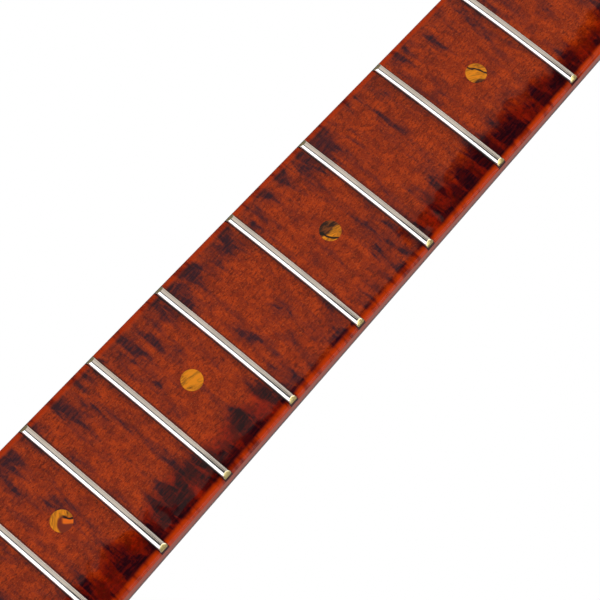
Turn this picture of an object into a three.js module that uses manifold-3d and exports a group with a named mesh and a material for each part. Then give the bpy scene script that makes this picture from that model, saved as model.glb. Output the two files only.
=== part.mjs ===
// Flat-backed bouzouki with eight strings in four courses, built unstrung.
//
// Millimetres.  +Z runs up the neck to the headstock, -Y is the playing face and +X the treble side.
// The origin is on the crown of the fretboard at the front of the nut, where a hanger closes round
// the neck.  The headstock leans back, so its pieces are drawn in a frame of their own: x across,
// y into the wood from the front face, z up the headstock.

import * as THREE from 'three';
import { mergeVertices } from 'three/addons/utils/BufferGeometryUtils.js';
import Module from 'manifold-3d';

const wasm = await Module();
wasm.setup();

// ---------------------------------------------------------------- driving dimensions

const SCALE_LENGTH = 650;
const FRET_COUNT = 18;
const GLUE_GAP = 0.1;
const FIT_GAP = 0.3;

const NUT_WIDTH = 41.25;
const NECK_TAPER = 0.0304;
const BOARD_RADIUS = 445;
const BOARD_THICKNESS = 6;
const BOARD_LENGTH = 430;
const BOARD_SHOULDER = 0.8;
const BOARD_FACETS = 5;

const FRET_WIDTH = 2.5;
const FRET_HEIGHT = 1.2;
const FRET_TANG_WIDTH = 0.5;
const FRET_TANG_DEPTH = 1.6;
const FRET_END_INSET = 0.45;
const FRET_END_BEVEL = 0.8;
const FRET_SLOT_WIDTH = 0.9;
const FRET_SLOT_DEPTH = 2.7;

const NUT_LENGTH = 4.5;
const NUT_HEIGHT = 1.6;
const NUT_COURSE_SPACING = 9.9;
const NUT_PAIR_SPACING = 2.4;
const NUT_NOTCH_WIDTH = 0.7;
const NUT_NOTCH_DEPTH = 0.8;
const COURSES = 4;

const NECK_TOP = BOARD_THICKNESS + GLUE_GAP;
const NECK_DEPTH_NUT = 21;
const NECK_DEPTH_HEEL = 24;
const NECK_SIDE = 1.2;

const HEEL_LENGTH = 62;
const HEEL_FOOT_LENGTH = 22;
const HEEL_FOOT_HALF_WIDTH = 17;
const HEEL_CAP_THICKNESS = 3;
const TENON_HALF_WIDTH = 9.7;
const TENON_LENGTH = 18;

const JOINT_FRET = 15;
const BODY_FACE = BOARD_THICKNESS + GLUE_GAP;
const BODY_DEPTH = 85;
const BODY_LENGTH = 430;
const BODY_HALF_WIDTH = 172;
const BODY_FLAT_HALF_WIDTH = 29;
const PLATE_THICKNESS = 3;
const SIDE_THICKNESS = 2.2;
const BINDING_WIDTH = 2;
const BINDING_HEIGHT = 6;
const LINING_WIDTH = 6;
const LINING_HEIGHT = 13;
const BLOCK_HALF_WIDTH = 32;
const NECK_BLOCK_LENGTH = 55;
const TAIL_BLOCK_LENGTH = 20;

const SOUNDHOLE_Z = -497;
const SOUNDHOLE_RADIUS = 43;
const ROSETTE_INNER = 46;
const ROSETTE_OUTER = 54;
const ROSETTE_DEPTH = 1;

const BRACE_WIDTH = 7;
const BRACE_HEIGHT = 12;
const CROSSING_Z = -580;
const UPPER_BRACE_X = 102;
const UPPER_BRACE_Z = -449;
const LOWER_BRACE_X = 118;
const LOWER_BRACE_Z = -720;
const BRIDGE_PLATE_HALF_LENGTH = 72;
const BRIDGE_PLATE_HALF_WIDTH = 18;
const THIN_BRACE_HEIGHT = 2.5;
const SEAM_STRIP_HALF_WIDTH = 9;
const BACK_BRACES = [
  { z: -462, halfLength: 96 },
  { z: -545, halfLength: 138 },
  { z: -640, halfLength: 158 },
  { z: -730, halfLength: 128 },
];

const SADDLE_Z = -652;
const SADDLE_HALF_LENGTH = 38;
const SADDLE_THICKNESS = 3;
const SADDLE_TOP = -6.4;
const SADDLE_SLOT_DEPTH = 5;
const BRIDGE_HALF_LENGTH = 80;
const BRIDGE_BLOCK_HALF_LENGTH = 54;
const BRIDGE_WIDTH = 30;
const BRIDGE_BEHIND_SADDLE = 20;
const BRIDGE_HEIGHT = 9;
const BRIDGE_WING_HEIGHT = 3.5;
const BRIDGE_COURSE_SPACING = 20.7;
const BRIDGE_PAIR_SPACING = 3.2;
const STRING_HOLE_RADIUS = 1;

const TRUSS_ROD_WIDTH = 5.4;
const TRUSS_ROD_TOP = 7;
const TRUSS_ROD_BOTTOM = 14;
const TRUSS_ROD_LENGTH = 372;
const TRUSS_NUT_RADIUS = 3.6;
const TRUSS_NUT_LENGTH = 11;

const HEAD_TILT = THREE.MathUtils.degToRad(13);
const HEAD_FACE_Y = 2;
const HEAD_START_Z = NUT_LENGTH + 0.5;
const HEAD_LENGTH = 150;
const HEAD_THICKNESS = 16;
const HEAD_HALF_WIDTH_LOW = 37;
const HEAD_HALF_WIDTH_HIGH = 40;
const VENEER_THICKNESS = 1.7;
const COVER_THICKNESS = 1.5;

const TUNERS_PER_SIDE = 4;
const TUNER_SPACING = 26;
const FIRST_POST_Z = 42;
const POST_X = 24.5;
const POST_RADIUS = 3;
const POST_HEIGHT = 16;
const POST_HOLE_RADIUS = 4.2;

const TUNER_PLATE_THICKNESS = 1.2;
const TUNER_PLATE_INNER_X = 14;
const TUNER_PLATE_OUTER_X = 35.5;
const LUG_THICKNESS = 1.5;
const LUG_HALF_WIDTH = 4;

const GEAR_MODULE = 0.8;
const GEAR_TEETH = 15;
const GEAR_THICKNESS = 2.4;
const GEAR_TOOTH_SHARE = 0.36;
const WORM_PITCH_RADIUS = 2.9;
const WORM_THREAD_SHARE = 0.34;
const WORM_HALF_LENGTH = 4.2;
const WORM_SHAFT_RADIUS = 1.7;
const BUTTON_START = 17.5;
const BUTTON_LENGTH = 16;
const BUTTON_HALF_WIDTH = 8;
const BUTTON_HALF_THICKNESS = 3.5;

const END_PIN_SHAFT_RADIUS = 4;
const END_PIN_HEAD_RADIUS = 7;
const END_PIN_HEAD_LENGTH = 14;

// ---------------------------------------------------------------- places worked out from them

const JOINT_Z = -fretDistance(JOINT_FRET);
const TAIL_Z = JOINT_Z - BODY_LENGTH;
const WIDEST_Z = TAIL_Z + BODY_HALF_WIDTH;
const BODY_BACK = BODY_FACE + BODY_DEPTH;
const INSIDE_FRONT = BODY_FACE + PLATE_THICKNESS + GLUE_GAP;
const INSIDE_BACK = BODY_BACK - PLATE_THICKNESS - GLUE_GAP;
const LINING_INSET = SIDE_THICKNESS + GLUE_GAP;
const HEEL_FOOT = BODY_BACK - HEEL_CAP_THICKNESS - GLUE_GAP;
const TENON_FRONT = INSIDE_FRONT + LINING_HEIGHT + 1;
const TENON_BACK = INSIDE_BACK - LINING_HEIGHT - 1;

const WOOD_FACE = VENEER_THICKNESS + FIT_GAP;
const TUNER_PLATE_FRONT = HEAD_THICKNESS + FIT_GAP;
const TUNER_PLATE_BACK = TUNER_PLATE_FRONT + TUNER_PLATE_THICKNESS;
const GEAR_PITCH_RADIUS = GEAR_MODULE * GEAR_TEETH / 2;
const WORM_OUTER_RADIUS = WORM_PITCH_RADIUS + GEAR_MODULE;
const WORM_ROOT_RADIUS = WORM_PITCH_RADIUS - 1.1 * GEAR_MODULE;
const WORM_LEAD = Math.PI * GEAR_MODULE;
const WORM_OFFSET = GEAR_PITCH_RADIUS + WORM_PITCH_RADIUS;
const GEAR_Y = TUNER_PLATE_BACK + WORM_OUTER_RADIUS + FIT_GAP;

// ---------------------------------------------------------------- finishes

function finish(color, roughness, metalness = 0) {
  return new THREE.MeshStandardMaterial({ color, roughness, metalness });
}

const STAINED_MAPLE = finish(0x8a3216, 0.25);
const SPRUCE = finish(0xc98a45, 0.35);
const BARE_SPRUCE = finish(0xd9bd8c, 0.7);
const MAHOGANY = finish(0x8b5a3a, 0.6);
const DARK_WOOD = finish(0x2c1a14, 0.45);
const BLACK_BINDING = finish(0x17120f, 0.35);
const BONE = finish(0xe9dfc8, 0.4);
const NICKEL = finish(0xc9c3b8, 0.25, 1);
const STEEL = finish(0x8d9096, 0.35, 1);
const BRASS = finish(0xb98a3e, 0.3, 1);

// ---------------------------------------------------------------- geometry tools

function fretDistance(fret) {
  return SCALE_LENGTH * (1 - 2 ** (-fret / 12));
}

function boardHalfWidth(z) {
  return (NUT_WIDTH - NECK_TAPER * z) / 2;
}

// How far the crowned playing surface has dropped at a distance from the centre line.
function crownDrop(x) {
  return BOARD_RADIUS - Math.sqrt(BOARD_RADIUS ** 2 - x ** 2);
}

// A closed body through matching outlines; place(point, station) puts an outline's point in space.
function loft(sections, place) {
  const count = sections[0].length;
  const clockwise = THREE.ShapeUtils.isClockWise(sections[0]);
  const ordered = sections.map((section) => (clockwise ? [...section].reverse() : section));
  const points = ordered.flatMap((section, station) => section.map((point) => place(point, station)));
  const index = [];
  for (let station = 0; station + 1 < ordered.length; station++) {
    for (let i = 0; i < count; i++) {
      const a = station * count + i;
      const b = station * count + (i + 1) % count;
      index.push(a, b, b + count, a, b + count, a + count);
    }
  }
  const last = (ordered.length - 1) * count;
  for (const [a, b, c] of THREE.ShapeUtils.triangulateShape(ordered[0], [])) {
    index.push(c, b, a);
  }
  for (const [a, b, c] of THREE.ShapeUtils.triangulateShape(ordered[ordered.length - 1], [])) {
    index.push(a + last, b + last, c + last);
  }
  if (enclosedVolume(points, index) < 0) {
    index.reverse();
  }
  const geometry = new THREE.BufferGeometry().setFromPoints(points);
  geometry.setIndex(index);
  return geometry;
}

function enclosedVolume(points, index) {
  let volume = 0;
  for (let i = 0; i < index.length; i += 3) {
    const [a, b, c] = [points[index[i]], points[index[i + 1]], points[index[i + 2]]];
    volume += a.dot(b.clone().cross(c)) / 6;
  }
  return volume;
}

// A flat piece with its outline in x and z, between two depths in y.
function plate(shape, front, back, curveSegments = 6) {
  const options = { depth: back - front, bevelEnabled: false, curveSegments };
  return new THREE.ExtrudeGeometry(shape, options).rotateX(Math.PI / 2).translate(0, back, 0);
}

// A piece with its outline in x and height above the playing face, from z upwards.
function bar(shape, z, length, curveSegments) {
  const options = { depth: length, bevelEnabled: false, curveSegments };
  return new THREE.ExtrudeGeometry(shape, options).rotateZ(Math.PI).translate(0, 0, z);
}

function box(xMin, xMax, yMin, yMax, zMin, zMax) {
  const geometry = new THREE.BoxGeometry(xMax - xMin, yMax - yMin, zMax - zMin);
  return geometry.translate((xMin + xMax) / 2, (yMin + yMax) / 2, (zMin + zMax) / 2);
}

function rodAlongX(radius, xMin, xMax, sides = 8) {
  return new THREE.CylinderGeometry(radius, radius, xMax - xMin, sides)
    .rotateZ(Math.PI / 2).translate((xMin + xMax) / 2, 0, 0);
}

function rodAlongY(radius, yMin, yMax, sides = 12) {
  return new THREE.CylinderGeometry(radius, radius, yMax - yMin, sides).translate(0, (yMin + yMax) / 2, 0);
}

function rodAlongZ(radius, zMin, zMax, sides = 12) {
  return new THREE.CylinderGeometry(radius, radius, zMax - zMin, sides)
    .rotateX(Math.PI / 2).translate(0, 0, (zMin + zMax) / 2);
}

function circle(radius, x, z) {
  return new THREE.Shape().absarc(x, z, radius, 0, 2 * Math.PI);
}

function solidOf(geometry) {
  const bare = geometry.clone();
  bare.deleteAttribute('normal');
  bare.deleteAttribute('uv');
  const merged = mergeVertices(bare);
  return new wasm.Manifold(new wasm.Mesh({
    numProp: 3,
    vertProperties: new Float32Array(merged.attributes.position.array),
    triVerts: new Uint32Array(merged.index.array),
  }));
}

function geometryOf(solid) {
  const { vertProperties, triVerts } = solid.getMesh();
  const geometry = new THREE.BufferGeometry();
  geometry.setAttribute('position', new THREE.BufferAttribute(vertProperties, 3));
  geometry.setIndex(new THREE.BufferAttribute(triVerts, 1));
  geometry.computeVertexNormals();
  return geometry;
}

function join(geometries) {
  return geometryOf(geometries.map(solidOf).reduce((whole, next) => whole.add(next)));
}

function cut(geometry, tools) {
  return geometryOf(tools.map(solidOf).reduce((whole, tool) => whole.subtract(tool), solidOf(geometry)));
}

function common(geometry, other) {
  return geometryOf(solidOf(geometry).intersect(solidOf(other)));
}

const instrument = new THREE.Group();
const headstock = new THREE.Group();
headstock.rotation.x = -HEAD_TILT;
headstock.position.set(0, HEAD_FACE_Y, HEAD_START_Z);
headstock.updateMatrix();
instrument.add(headstock);

function add(name, geometry, material, parent = instrument) {
  const mesh = new THREE.Mesh(geometry, material);
  mesh.name = name;
  parent.add(mesh);
  return mesh;
}

// ---------------------------------------------------------------- body outline

// Corner points of the pear-shaped outline in x and z, counter-clockwise from the bass shoulder.
function bodyOutline() {
  const shoulder = new THREE.CubicBezierCurve(
    new THREE.Vector2(BODY_FLAT_HALF_WIDTH, JOINT_Z),
    new THREE.Vector2(BODY_FLAT_HALF_WIDTH + 72, JOINT_Z - 12),
    new THREE.Vector2(BODY_HALF_WIDTH, WIDEST_Z + 128),
    new THREE.Vector2(BODY_HALF_WIDTH, WIDEST_Z),
  ).getPoints(12);
  const tail = [];
  const tailSteps = 11;
  for (let i = 1; i <= tailSteps; i++) {
    const angle = (i / tailSteps) * Math.PI / 2;
    const x = BODY_HALF_WIDTH * Math.cos(angle);
    tail.push(new THREE.Vector2(x, WIDEST_Z - BODY_HALF_WIDTH * Math.sin(angle)));
  }
  const treble = [...shoulder, ...tail];
  const bass = treble.slice(0, -1).map(({ x, y }) => new THREE.Vector2(-x, y));
  return [...bass, ...treble.reverse()];
}

// The outline moved inwards by a distance, with mitred corners.
function inset(outline, distance) {
  const count = outline.length;
  return outline.map((point, i) => {
    const before = point.clone().sub(outline[(i + count - 1) % count]).normalize();
    const after = outline[(i + 1) % count].clone().sub(point).normalize();
    const normal = new THREE.Vector2(-before.y - after.y, before.x + after.x).normalize();
    const lean = normal.x * -after.y + normal.y * after.x;
    return point.clone().addScaledVector(normal, distance / lean);
  });
}

const OUTLINE = bodyOutline();

function bodyPrism(distance, front, back) {
  return plate(new THREE.Shape(inset(OUTLINE, distance)), front, back);
}

function bodyRing(outerInset, innerInset, front, back) {
  const shape = new THREE.Shape(inset(OUTLINE, outerInset));
  shape.holes.push(new THREE.Path(inset(OUTLINE, innerInset)));
  return plate(shape, front, back);
}

// ---------------------------------------------------------------- fretboard, frets and nut

function boardSection(halfWidth) {
  const points = [new THREE.Vector2(-halfWidth, BOARD_THICKNESS)];
  const edge = halfWidth - BOARD_SHOULDER;
  points.push(new THREE.Vector2(-halfWidth, crownDrop(edge) + BOARD_SHOULDER));
  for (let i = 0; i <= BOARD_FACETS; i++) {
    const x = -edge + 2 * edge * i / BOARD_FACETS;
    points.push(new THREE.Vector2(x, crownDrop(x)));
  }
  points.push(new THREE.Vector2(halfWidth, crownDrop(edge) + BOARD_SHOULDER));
  points.push(new THREE.Vector2(halfWidth, BOARD_THICKNESS));
  return points;
}

function fretboardGeometry() {
  const stations = [-GLUE_GAP, -BOARD_LENGTH];
  const sections = stations.map((z) => boardSection(boardHalfWidth(z)));
  const blank = loft(sections, (point, i) => new THREE.Vector3(point.x, point.y, stations[i]));
  const slots = [];
  for (let fret = 1; fret <= FRET_COUNT; fret++) {
    const z = -fretDistance(fret);
    slots.push(box(-40, 40, -5, FRET_SLOT_DEPTH, z - FRET_SLOT_WIDTH / 2, z + FRET_SLOT_WIDTH / 2));
  }
  return cut(blank, slots);
}

// Half-round crown and tang, bent to the crown of the board; the ends of the crown are bevelled.
function fretGeometry(fret) {
  const z = -fretDistance(fret);
  const half = boardHalfWidth(z) - FRET_END_INSET;
  const seat = 0.05;
  const crownSteps = 4;
  const profile = [];
  for (let i = 0; i <= crownSteps; i++) {
    const angle = Math.PI * i / crownSteps;
    const across = FRET_WIDTH / 2 * Math.cos(angle);
    profile.push(new THREE.Vector2(across, seat + FRET_HEIGHT * Math.sin(angle)));
  }
  profile.push(new THREE.Vector2(-FRET_TANG_WIDTH / 2, seat));
  profile.push(new THREE.Vector2(-FRET_TANG_WIDTH / 2, -FRET_TANG_DEPTH));
  profile.push(new THREE.Vector2(FRET_TANG_WIDTH / 2, -FRET_TANG_DEPTH));
  profile.push(new THREE.Vector2(FRET_TANG_WIDTH / 2, seat));
  const sections = Array.from({ length: BOARD_FACETS + 1 }, () => profile);
  return loft(sections, (point, i) => {
    const lean = 2 * i / BOARD_FACETS - 1;
    const bevel = FRET_END_BEVEL * Math.max(point.y, 0) / FRET_HEIGHT;
    const x = lean * (half - bevel);
    return new THREE.Vector3(x, crownDrop(x) - point.y, z + point.x);
  });
}

// Where the strings of all courses cross a line, for a given spacing of courses and of pairs.
function stringPlaces(courseSpacing, pairSpacing) {
  const places = [];
  for (let course = 0; course < COURSES; course++) {
    const centre = (course - (COURSES - 1) / 2) * courseSpacing;
    places.push(centre - pairSpacing / 2, centre + pairSpacing / 2);
  }
  return places;
}

function nutGeometry() {
  const half = boardHalfWidth(0);
  const profile = new THREE.Shape();
  profile.moveTo(-half, -BOARD_THICKNESS);
  profile.lineTo(half, -BOARD_THICKNESS);
  profile.lineTo(half, NUT_HEIGHT - 1.6);
  profile.quadraticCurveTo(half - 0.3, NUT_HEIGHT - 0.5, half - 2, NUT_HEIGHT - 0.3);
  profile.quadraticCurveTo(0, NUT_HEIGHT + 0.5, -half + 2, NUT_HEIGHT - 0.3);
  profile.quadraticCurveTo(-half + 0.3, NUT_HEIGHT - 0.5, -half, NUT_HEIGHT - 1.6);
  const blank = bar(profile, 0, NUT_LENGTH, 5);
  const reach = NUT_NOTCH_WIDTH / 2;
  const floor = NUT_NOTCH_DEPTH - NUT_HEIGHT;
  const notches = stringPlaces(NUT_COURSE_SPACING, NUT_PAIR_SPACING)
    .map((x) => box(x - reach, x + reach, -5, floor, -1, NUT_LENGTH + 1));
  return cut(blank, notches);
}

add('fretboard', fretboardGeometry(), STAINED_MAPLE);
for (let fret = 1; fret <= FRET_COUNT; fret++) {
  add(`fret_${String(fret).padStart(2, '0')}`, fretGeometry(fret), NICKEL);
}
add('nut', nutGeometry(), BONE);

// ---------------------------------------------------------------- headstock outline

function headOutline(startZ, inwards = 0) {
  const low = HEAD_HALF_WIDTH_LOW - inwards;
  const high = HEAD_HALF_WIDTH_HIGH - inwards;
  const base = NUT_WIDTH / 2 - inwards;
  const top = HEAD_LENGTH - inwards;
  const shape = new THREE.Shape();
  shape.moveTo(-base, startZ);
  shape.lineTo(base, startZ);
  shape.lineTo(base, 4);
  shape.bezierCurveTo(base, 14, low, 12, low, 26);
  shape.lineTo(high, top - 26);
  shape.bezierCurveTo(high, top - 8, high - 14, top - 4, 0, top);
  shape.bezierCurveTo(-high + 14, top - 4, -high, top - 8, -high, top - 26);
  shape.lineTo(-low, 26);
  shape.bezierCurveTo(-low, 12, -base, 14, -base, 4);
  shape.closePath();
  return shape;
}

function postPlaces() {
  const places = [];
  for (const [side, name] of [[1, 'treble'], [-1, 'bass']]) {
    for (let row = 0; row < TUNERS_PER_SIDE; row++) {
      const z = FIRST_POST_Z + row * TUNER_SPACING;
      places.push({ side, name: `${name}_${row + 1}`, x: side * POST_X, z });
    }
  }
  return places;
}

function postHoles(radius, yMin, yMax) {
  return postPlaces().map(({ x, z }) => rodAlongY(radius, yMin, yMax).translate(x, 0, z));
}

// ---------------------------------------------------------------- neck

function neckSection(halfWidth, depth, steps = 10) {
  const top = NECK_TOP + NECK_SIDE;
  const points = [];
  for (let i = 0; i <= steps; i++) {
    const angle = Math.PI * i / steps;
    const across = Math.sign(Math.cos(angle)) * Math.abs(Math.cos(angle)) ** 0.85;
    const down = Math.sin(angle) ** 0.9;
    points.push(new THREE.Vector2(halfWidth * across, top + (depth - top) * down));
  }
  points.push(new THREE.Vector2(-halfWidth, NECK_TOP));
  points.push(new THREE.Vector2(halfWidth, NECK_TOP));
  return points;
}

function neckShaft() {
  const stations = [22, 0, -80, -200, JOINT_Z + GLUE_GAP];
  const sections = stations.map((z) => {
    const share = THREE.MathUtils.clamp(z / JOINT_Z, 0, 1);
    const depth = THREE.MathUtils.lerp(NECK_DEPTH_NUT, NECK_DEPTH_HEEL, share);
    return neckSection(boardHalfWidth(Math.min(z, 0)), depth);
  });
  return loft(sections, (point, i) => new THREE.Vector3(point.x, point.y, stations[i]));
}

// The heel narrows and shortens in a hollow curve from the shaft down to its foot.
function heel() {
  const levels = 7;
  const top = NECK_DEPTH_HEEL - 10;
  const sections = [];
  const depths = [];
  for (let level = 0; level <= levels; level++) {
    const share = level / levels;
    const narrowing = Math.sin(share * Math.PI / 2);
    const halfWidth = THREE.MathUtils.lerp(boardHalfWidth(JOINT_Z) - 1.5, HEEL_FOOT_HALF_WIDTH, narrowing);
    const length = THREE.MathUtils.lerp(HEEL_LENGTH, HEEL_FOOT_LENGTH, Math.sqrt(1 - (1 - share) ** 2));
    const arc = [];
    for (let i = 0; i <= 10; i++) {
      const angle = Math.PI * i / 10;
      arc.push(new THREE.Vector2(halfWidth * Math.cos(angle), length * Math.sin(angle) ** 0.9));
    }
    sections.push(arc);
    depths.push(THREE.MathUtils.lerp(top, HEEL_FOOT, share));
  }
  return loft(sections, (point, i) => new THREE.Vector3(point.x, depths[i], JOINT_Z + GLUE_GAP + point.y));
}

function heelCapGeometry() {
  const shape = new THREE.Shape();
  for (let i = 0; i <= 10; i++) {
    const angle = Math.PI * i / 10;
    const x = HEEL_FOOT_HALF_WIDTH * Math.cos(angle);
    const z = JOINT_Z + GLUE_GAP + HEEL_FOOT_LENGTH * Math.sin(angle) ** 0.9;
    if (i === 0) {
      shape.moveTo(x, z);
    } else {
      shape.lineTo(x, z);
    }
  }
  return plate(shape, BODY_BACK - HEEL_CAP_THICKNESS, BODY_BACK);
}

function neckGeometry() {
  const head = plate(headOutline(-12), WOOD_FACE, HEAD_THICKNESS).applyMatrix4(headstock.matrix);
  const tenonEnd = JOINT_Z - TENON_LENGTH;
  const tenon = box(-TENON_HALF_WIDTH, TENON_HALF_WIDTH, TENON_FRONT, TENON_BACK, tenonEnd, JOINT_Z + 5);
  const whole = join([neckShaft(), head, heel(), tenon]);
  const aboveHead = box(-60, 60, -60, WOOD_FACE, -2, HEAD_LENGTH + 20).applyMatrix4(headstock.matrix);
  const aboveNeck = box(-60, 60, -60, NECK_TOP, JOINT_Z - 1, HEAD_START_Z);
  const channel = box(
    -TRUSS_ROD_WIDTH / 2 - FIT_GAP, TRUSS_ROD_WIDTH / 2 + FIT_GAP,
    0, TRUSS_ROD_BOTTOM + FIT_GAP,
    -TRUSS_ROD_LENGTH - FIT_GAP, HEAD_START_Z + 2,
  );
  const pocket = box(-5, 5, -5, TRUSS_ROD_BOTTOM + 0.8, HEAD_START_Z + 1, HEAD_START_Z + 21);
  const holes = postHoles(POST_HOLE_RADIUS, -5, HEAD_THICKNESS + 5)
    .map((hole) => hole.applyMatrix4(headstock.matrix));
  return cut(whole, [aboveHead, aboveNeck, channel, pocket, ...holes]);
}

add('neck', neckGeometry(), STAINED_MAPLE);
add('heel_cap', heelCapGeometry(), DARK_WOOD);

// ---------------------------------------------------------------- truss rod, its nut and its cover

const TRUSS_AXIS_Y = (TRUSS_ROD_TOP + TRUSS_ROD_BOTTOM) / 2;
const TRUSS_NUT_START = HEAD_START_Z + 5;

function trussRodGeometry() {
  const half = TRUSS_ROD_WIDTH / 2;
  const bar = box(-half, half, TRUSS_ROD_TOP, TRUSS_ROD_BOTTOM, -TRUSS_ROD_LENGTH, HEAD_START_Z);
  const stud = rodAlongZ(1.6, HEAD_START_Z - 1, TRUSS_NUT_START - FIT_GAP).translate(0, TRUSS_AXIS_Y, 0);
  return join([bar, stud]);
}

function trussNutGeometry() {
  const barrel = rodAlongZ(TRUSS_NUT_RADIUS, 0, TRUSS_NUT_LENGTH, 20);
  const socket = rodAlongZ(2, TRUSS_NUT_LENGTH - 6, TRUSS_NUT_LENGTH + 1, 6);
  return cut(barrel, [socket]).translate(0, TRUSS_AXIS_Y, TRUSS_NUT_START);
}

function trussCoverGeometry() {
  const shape = new THREE.Shape();
  shape.moveTo(-9, 2);
  shape.lineTo(9, 2);
  shape.bezierCurveTo(10, 14, 8, 22, 0, 36);
  shape.bezierCurveTo(-8, 22, -10, 14, -9, 2);
  return plate(shape, -COVER_THICKNESS - GLUE_GAP, -GLUE_GAP, 8);
}

function veneerGeometry() {
  const pocket = box(-5.3, 5.3, -5, 5, -1, 24);
  const holes = postHoles(POST_HOLE_RADIUS, -5, 5);
  return cut(plate(headOutline(0.5), 0, VENEER_THICKNESS), [pocket, ...holes]);
}

add('truss_rod', trussRodGeometry(), STEEL);
add('truss_rod_nut', trussNutGeometry(), BRASS);
add('headstock_veneer', veneerGeometry(), DARK_WOOD, headstock);
add('truss_rod_cover', trussCoverGeometry(), BLACK_BINDING, headstock);

// ---------------------------------------------------------------- tuning machines

// One plate carries four machines: two lugs bent up from it are the bearings of each worm.
function tunerPlateGeometry(side) {
  const first = FIRST_POST_Z - WORM_OFFSET - LUG_HALF_WIDTH - 6;
  const last = FIRST_POST_Z + (TUNERS_PER_SIDE - 1) * TUNER_SPACING + 12;
  const low = Math.min(side * TUNER_PLATE_INNER_X, side * TUNER_PLATE_OUTER_X);
  const high = Math.max(side * TUNER_PLATE_INNER_X, side * TUNER_PLATE_OUTER_X);
  const pieces = [box(low, high, TUNER_PLATE_FRONT, TUNER_PLATE_BACK, first, last)];
  const holes = [];
  for (let row = 0; row < TUNERS_PER_SIDE; row++) {
    const postZ = FIRST_POST_Z + row * TUNER_SPACING;
    const wormZ = postZ - WORM_OFFSET;
    for (const inner of [TUNER_PLATE_INNER_X, TUNER_PLATE_OUTER_X - LUG_THICKNESS]) {
      const from = Math.min(side * inner, side * (inner + LUG_THICKNESS));
      const [front, back] = [TUNER_PLATE_FRONT + 0.2, GEAR_Y + LUG_HALF_WIDTH - 0.5];
      const [start, end] = [wormZ - LUG_HALF_WIDTH, wormZ + LUG_HALF_WIDTH];
      pieces.push(box(from, from + LUG_THICKNESS, front, back, start, end));
    }
    holes.push(rodAlongX(WORM_SHAFT_RADIUS + FIT_GAP, low - 1, high + 1).translate(0, GEAR_Y, wormZ));
    holes.push(rodAlongY(POST_RADIUS + FIT_GAP, 0, TUNER_PLATE_BACK + 1).translate(side * POST_X, 0, postZ));
  }
  return cut(join(pieces), holes);
}

// A right-handed thread on a shaft along x; a crest faces +z at x = 0, and the button is at +x.
function wormGeometry() {
  const stepsPerTurn = 8;
  const turns = 2 * (WORM_HALF_LENGTH - 0.8) / WORM_LEAD;
  const steps = Math.round(turns * stepsPerTurn);
  const crest = WORM_LEAD * WORM_THREAD_SHARE * 0.32;
  const foot = WORM_LEAD * WORM_THREAD_SHARE * 0.72;
  const rootRadius = WORM_ROOT_RADIUS - 0.3;
  const section = [
    new THREE.Vector2(-foot, rootRadius),
    new THREE.Vector2(-crest, WORM_OUTER_RADIUS),
    new THREE.Vector2(crest, WORM_OUTER_RADIUS),
    new THREE.Vector2(foot, rootRadius),
  ];
  const thread = loft(Array.from({ length: steps + 1 }, () => section), (point, i) => {
    const turn = (i / steps - 0.5) * turns;
    const angle = 2 * Math.PI * turn;
    return new THREE.Vector3(point.x + turn * WORM_LEAD, -point.y * Math.sin(angle), point.y * Math.cos(angle));
  });
  const core = rodAlongX(WORM_ROOT_RADIUS, -WORM_HALF_LENGTH, WORM_HALF_LENGTH, 8);
  const shaft = rodAlongX(WORM_SHAFT_RADIUS, TUNER_PLATE_INNER_X - POST_X - 1, BUTTON_START + 1, 8);
  const rings = [[0, 0.33], [0.18, 0.55], [0.42, 0.97], [0.8, 0.9], [1, 0.5]];
  const button = loft(
    rings.map(([, size]) => {
      const oval = [];
      for (let i = 0; i < 10; i++) {
        const angle = 2 * Math.PI * i / 10;
        const thickness = Math.min(BUTTON_HALF_THICKNESS, BUTTON_HALF_WIDTH * size);
        oval.push(new THREE.Vector2(thickness * Math.cos(angle), BUTTON_HALF_WIDTH * size * Math.sin(angle)));
      }
      return oval;
    }),
    (point, i) => new THREE.Vector3(BUTTON_START + rings[i][0] * BUTTON_LENGTH, point.x, point.y),
  );
  return join([core, thread, shaft, button]);
}

// Gear wheel, hub and string post on one axis along y; a gap between teeth faces -z.
function postGeometry() {
  const pitch = 2 * Math.PI / GEAR_TEETH;
  const radii = [
    [-0.5 + GEAR_TOOTH_SHARE * 0.28, GEAR_PITCH_RADIUS + 0.85 * GEAR_MODULE],
    [-0.5 + GEAR_TOOTH_SHARE * 0.72, GEAR_PITCH_RADIUS - 1.05 * GEAR_MODULE],
    [0.5 - GEAR_TOOTH_SHARE * 0.72, GEAR_PITCH_RADIUS - 1.05 * GEAR_MODULE],
    [0.5 - GEAR_TOOTH_SHARE * 0.28, GEAR_PITCH_RADIUS + 0.85 * GEAR_MODULE],
  ];
  const rim = [];
  for (let tooth = 0; tooth < GEAR_TEETH; tooth++) {
    for (const [share, radius] of radii) {
      const angle = -Math.PI / 2 + (tooth + share) * pitch;
      rim.push(new THREE.Vector2(radius * Math.cos(angle), radius * Math.sin(angle)));
    }
  }
  const gear = plate(new THREE.Shape(rim), GEAR_Y - GEAR_THICKNESS / 2, GEAR_Y + GEAR_THICKNESS / 2);
  const hub = rodAlongY(4.4, TUNER_PLATE_BACK + FIT_GAP, GEAR_Y, 8);
  const post = rodAlongY(POST_RADIUS, -POST_HEIGHT, GEAR_Y, 10);
  const screw = rodAlongY(3.2, GEAR_Y, GEAR_Y + GEAR_THICKNESS / 2 + 1.6, 8);
  const stringHole = rodAlongX(0.9, -POST_RADIUS - 1, POST_RADIUS + 1, 6).translate(0, -POST_HEIGHT + 5, 0);
  return cut(join([post, hub, gear, screw]), [stringHole]);
}

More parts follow.
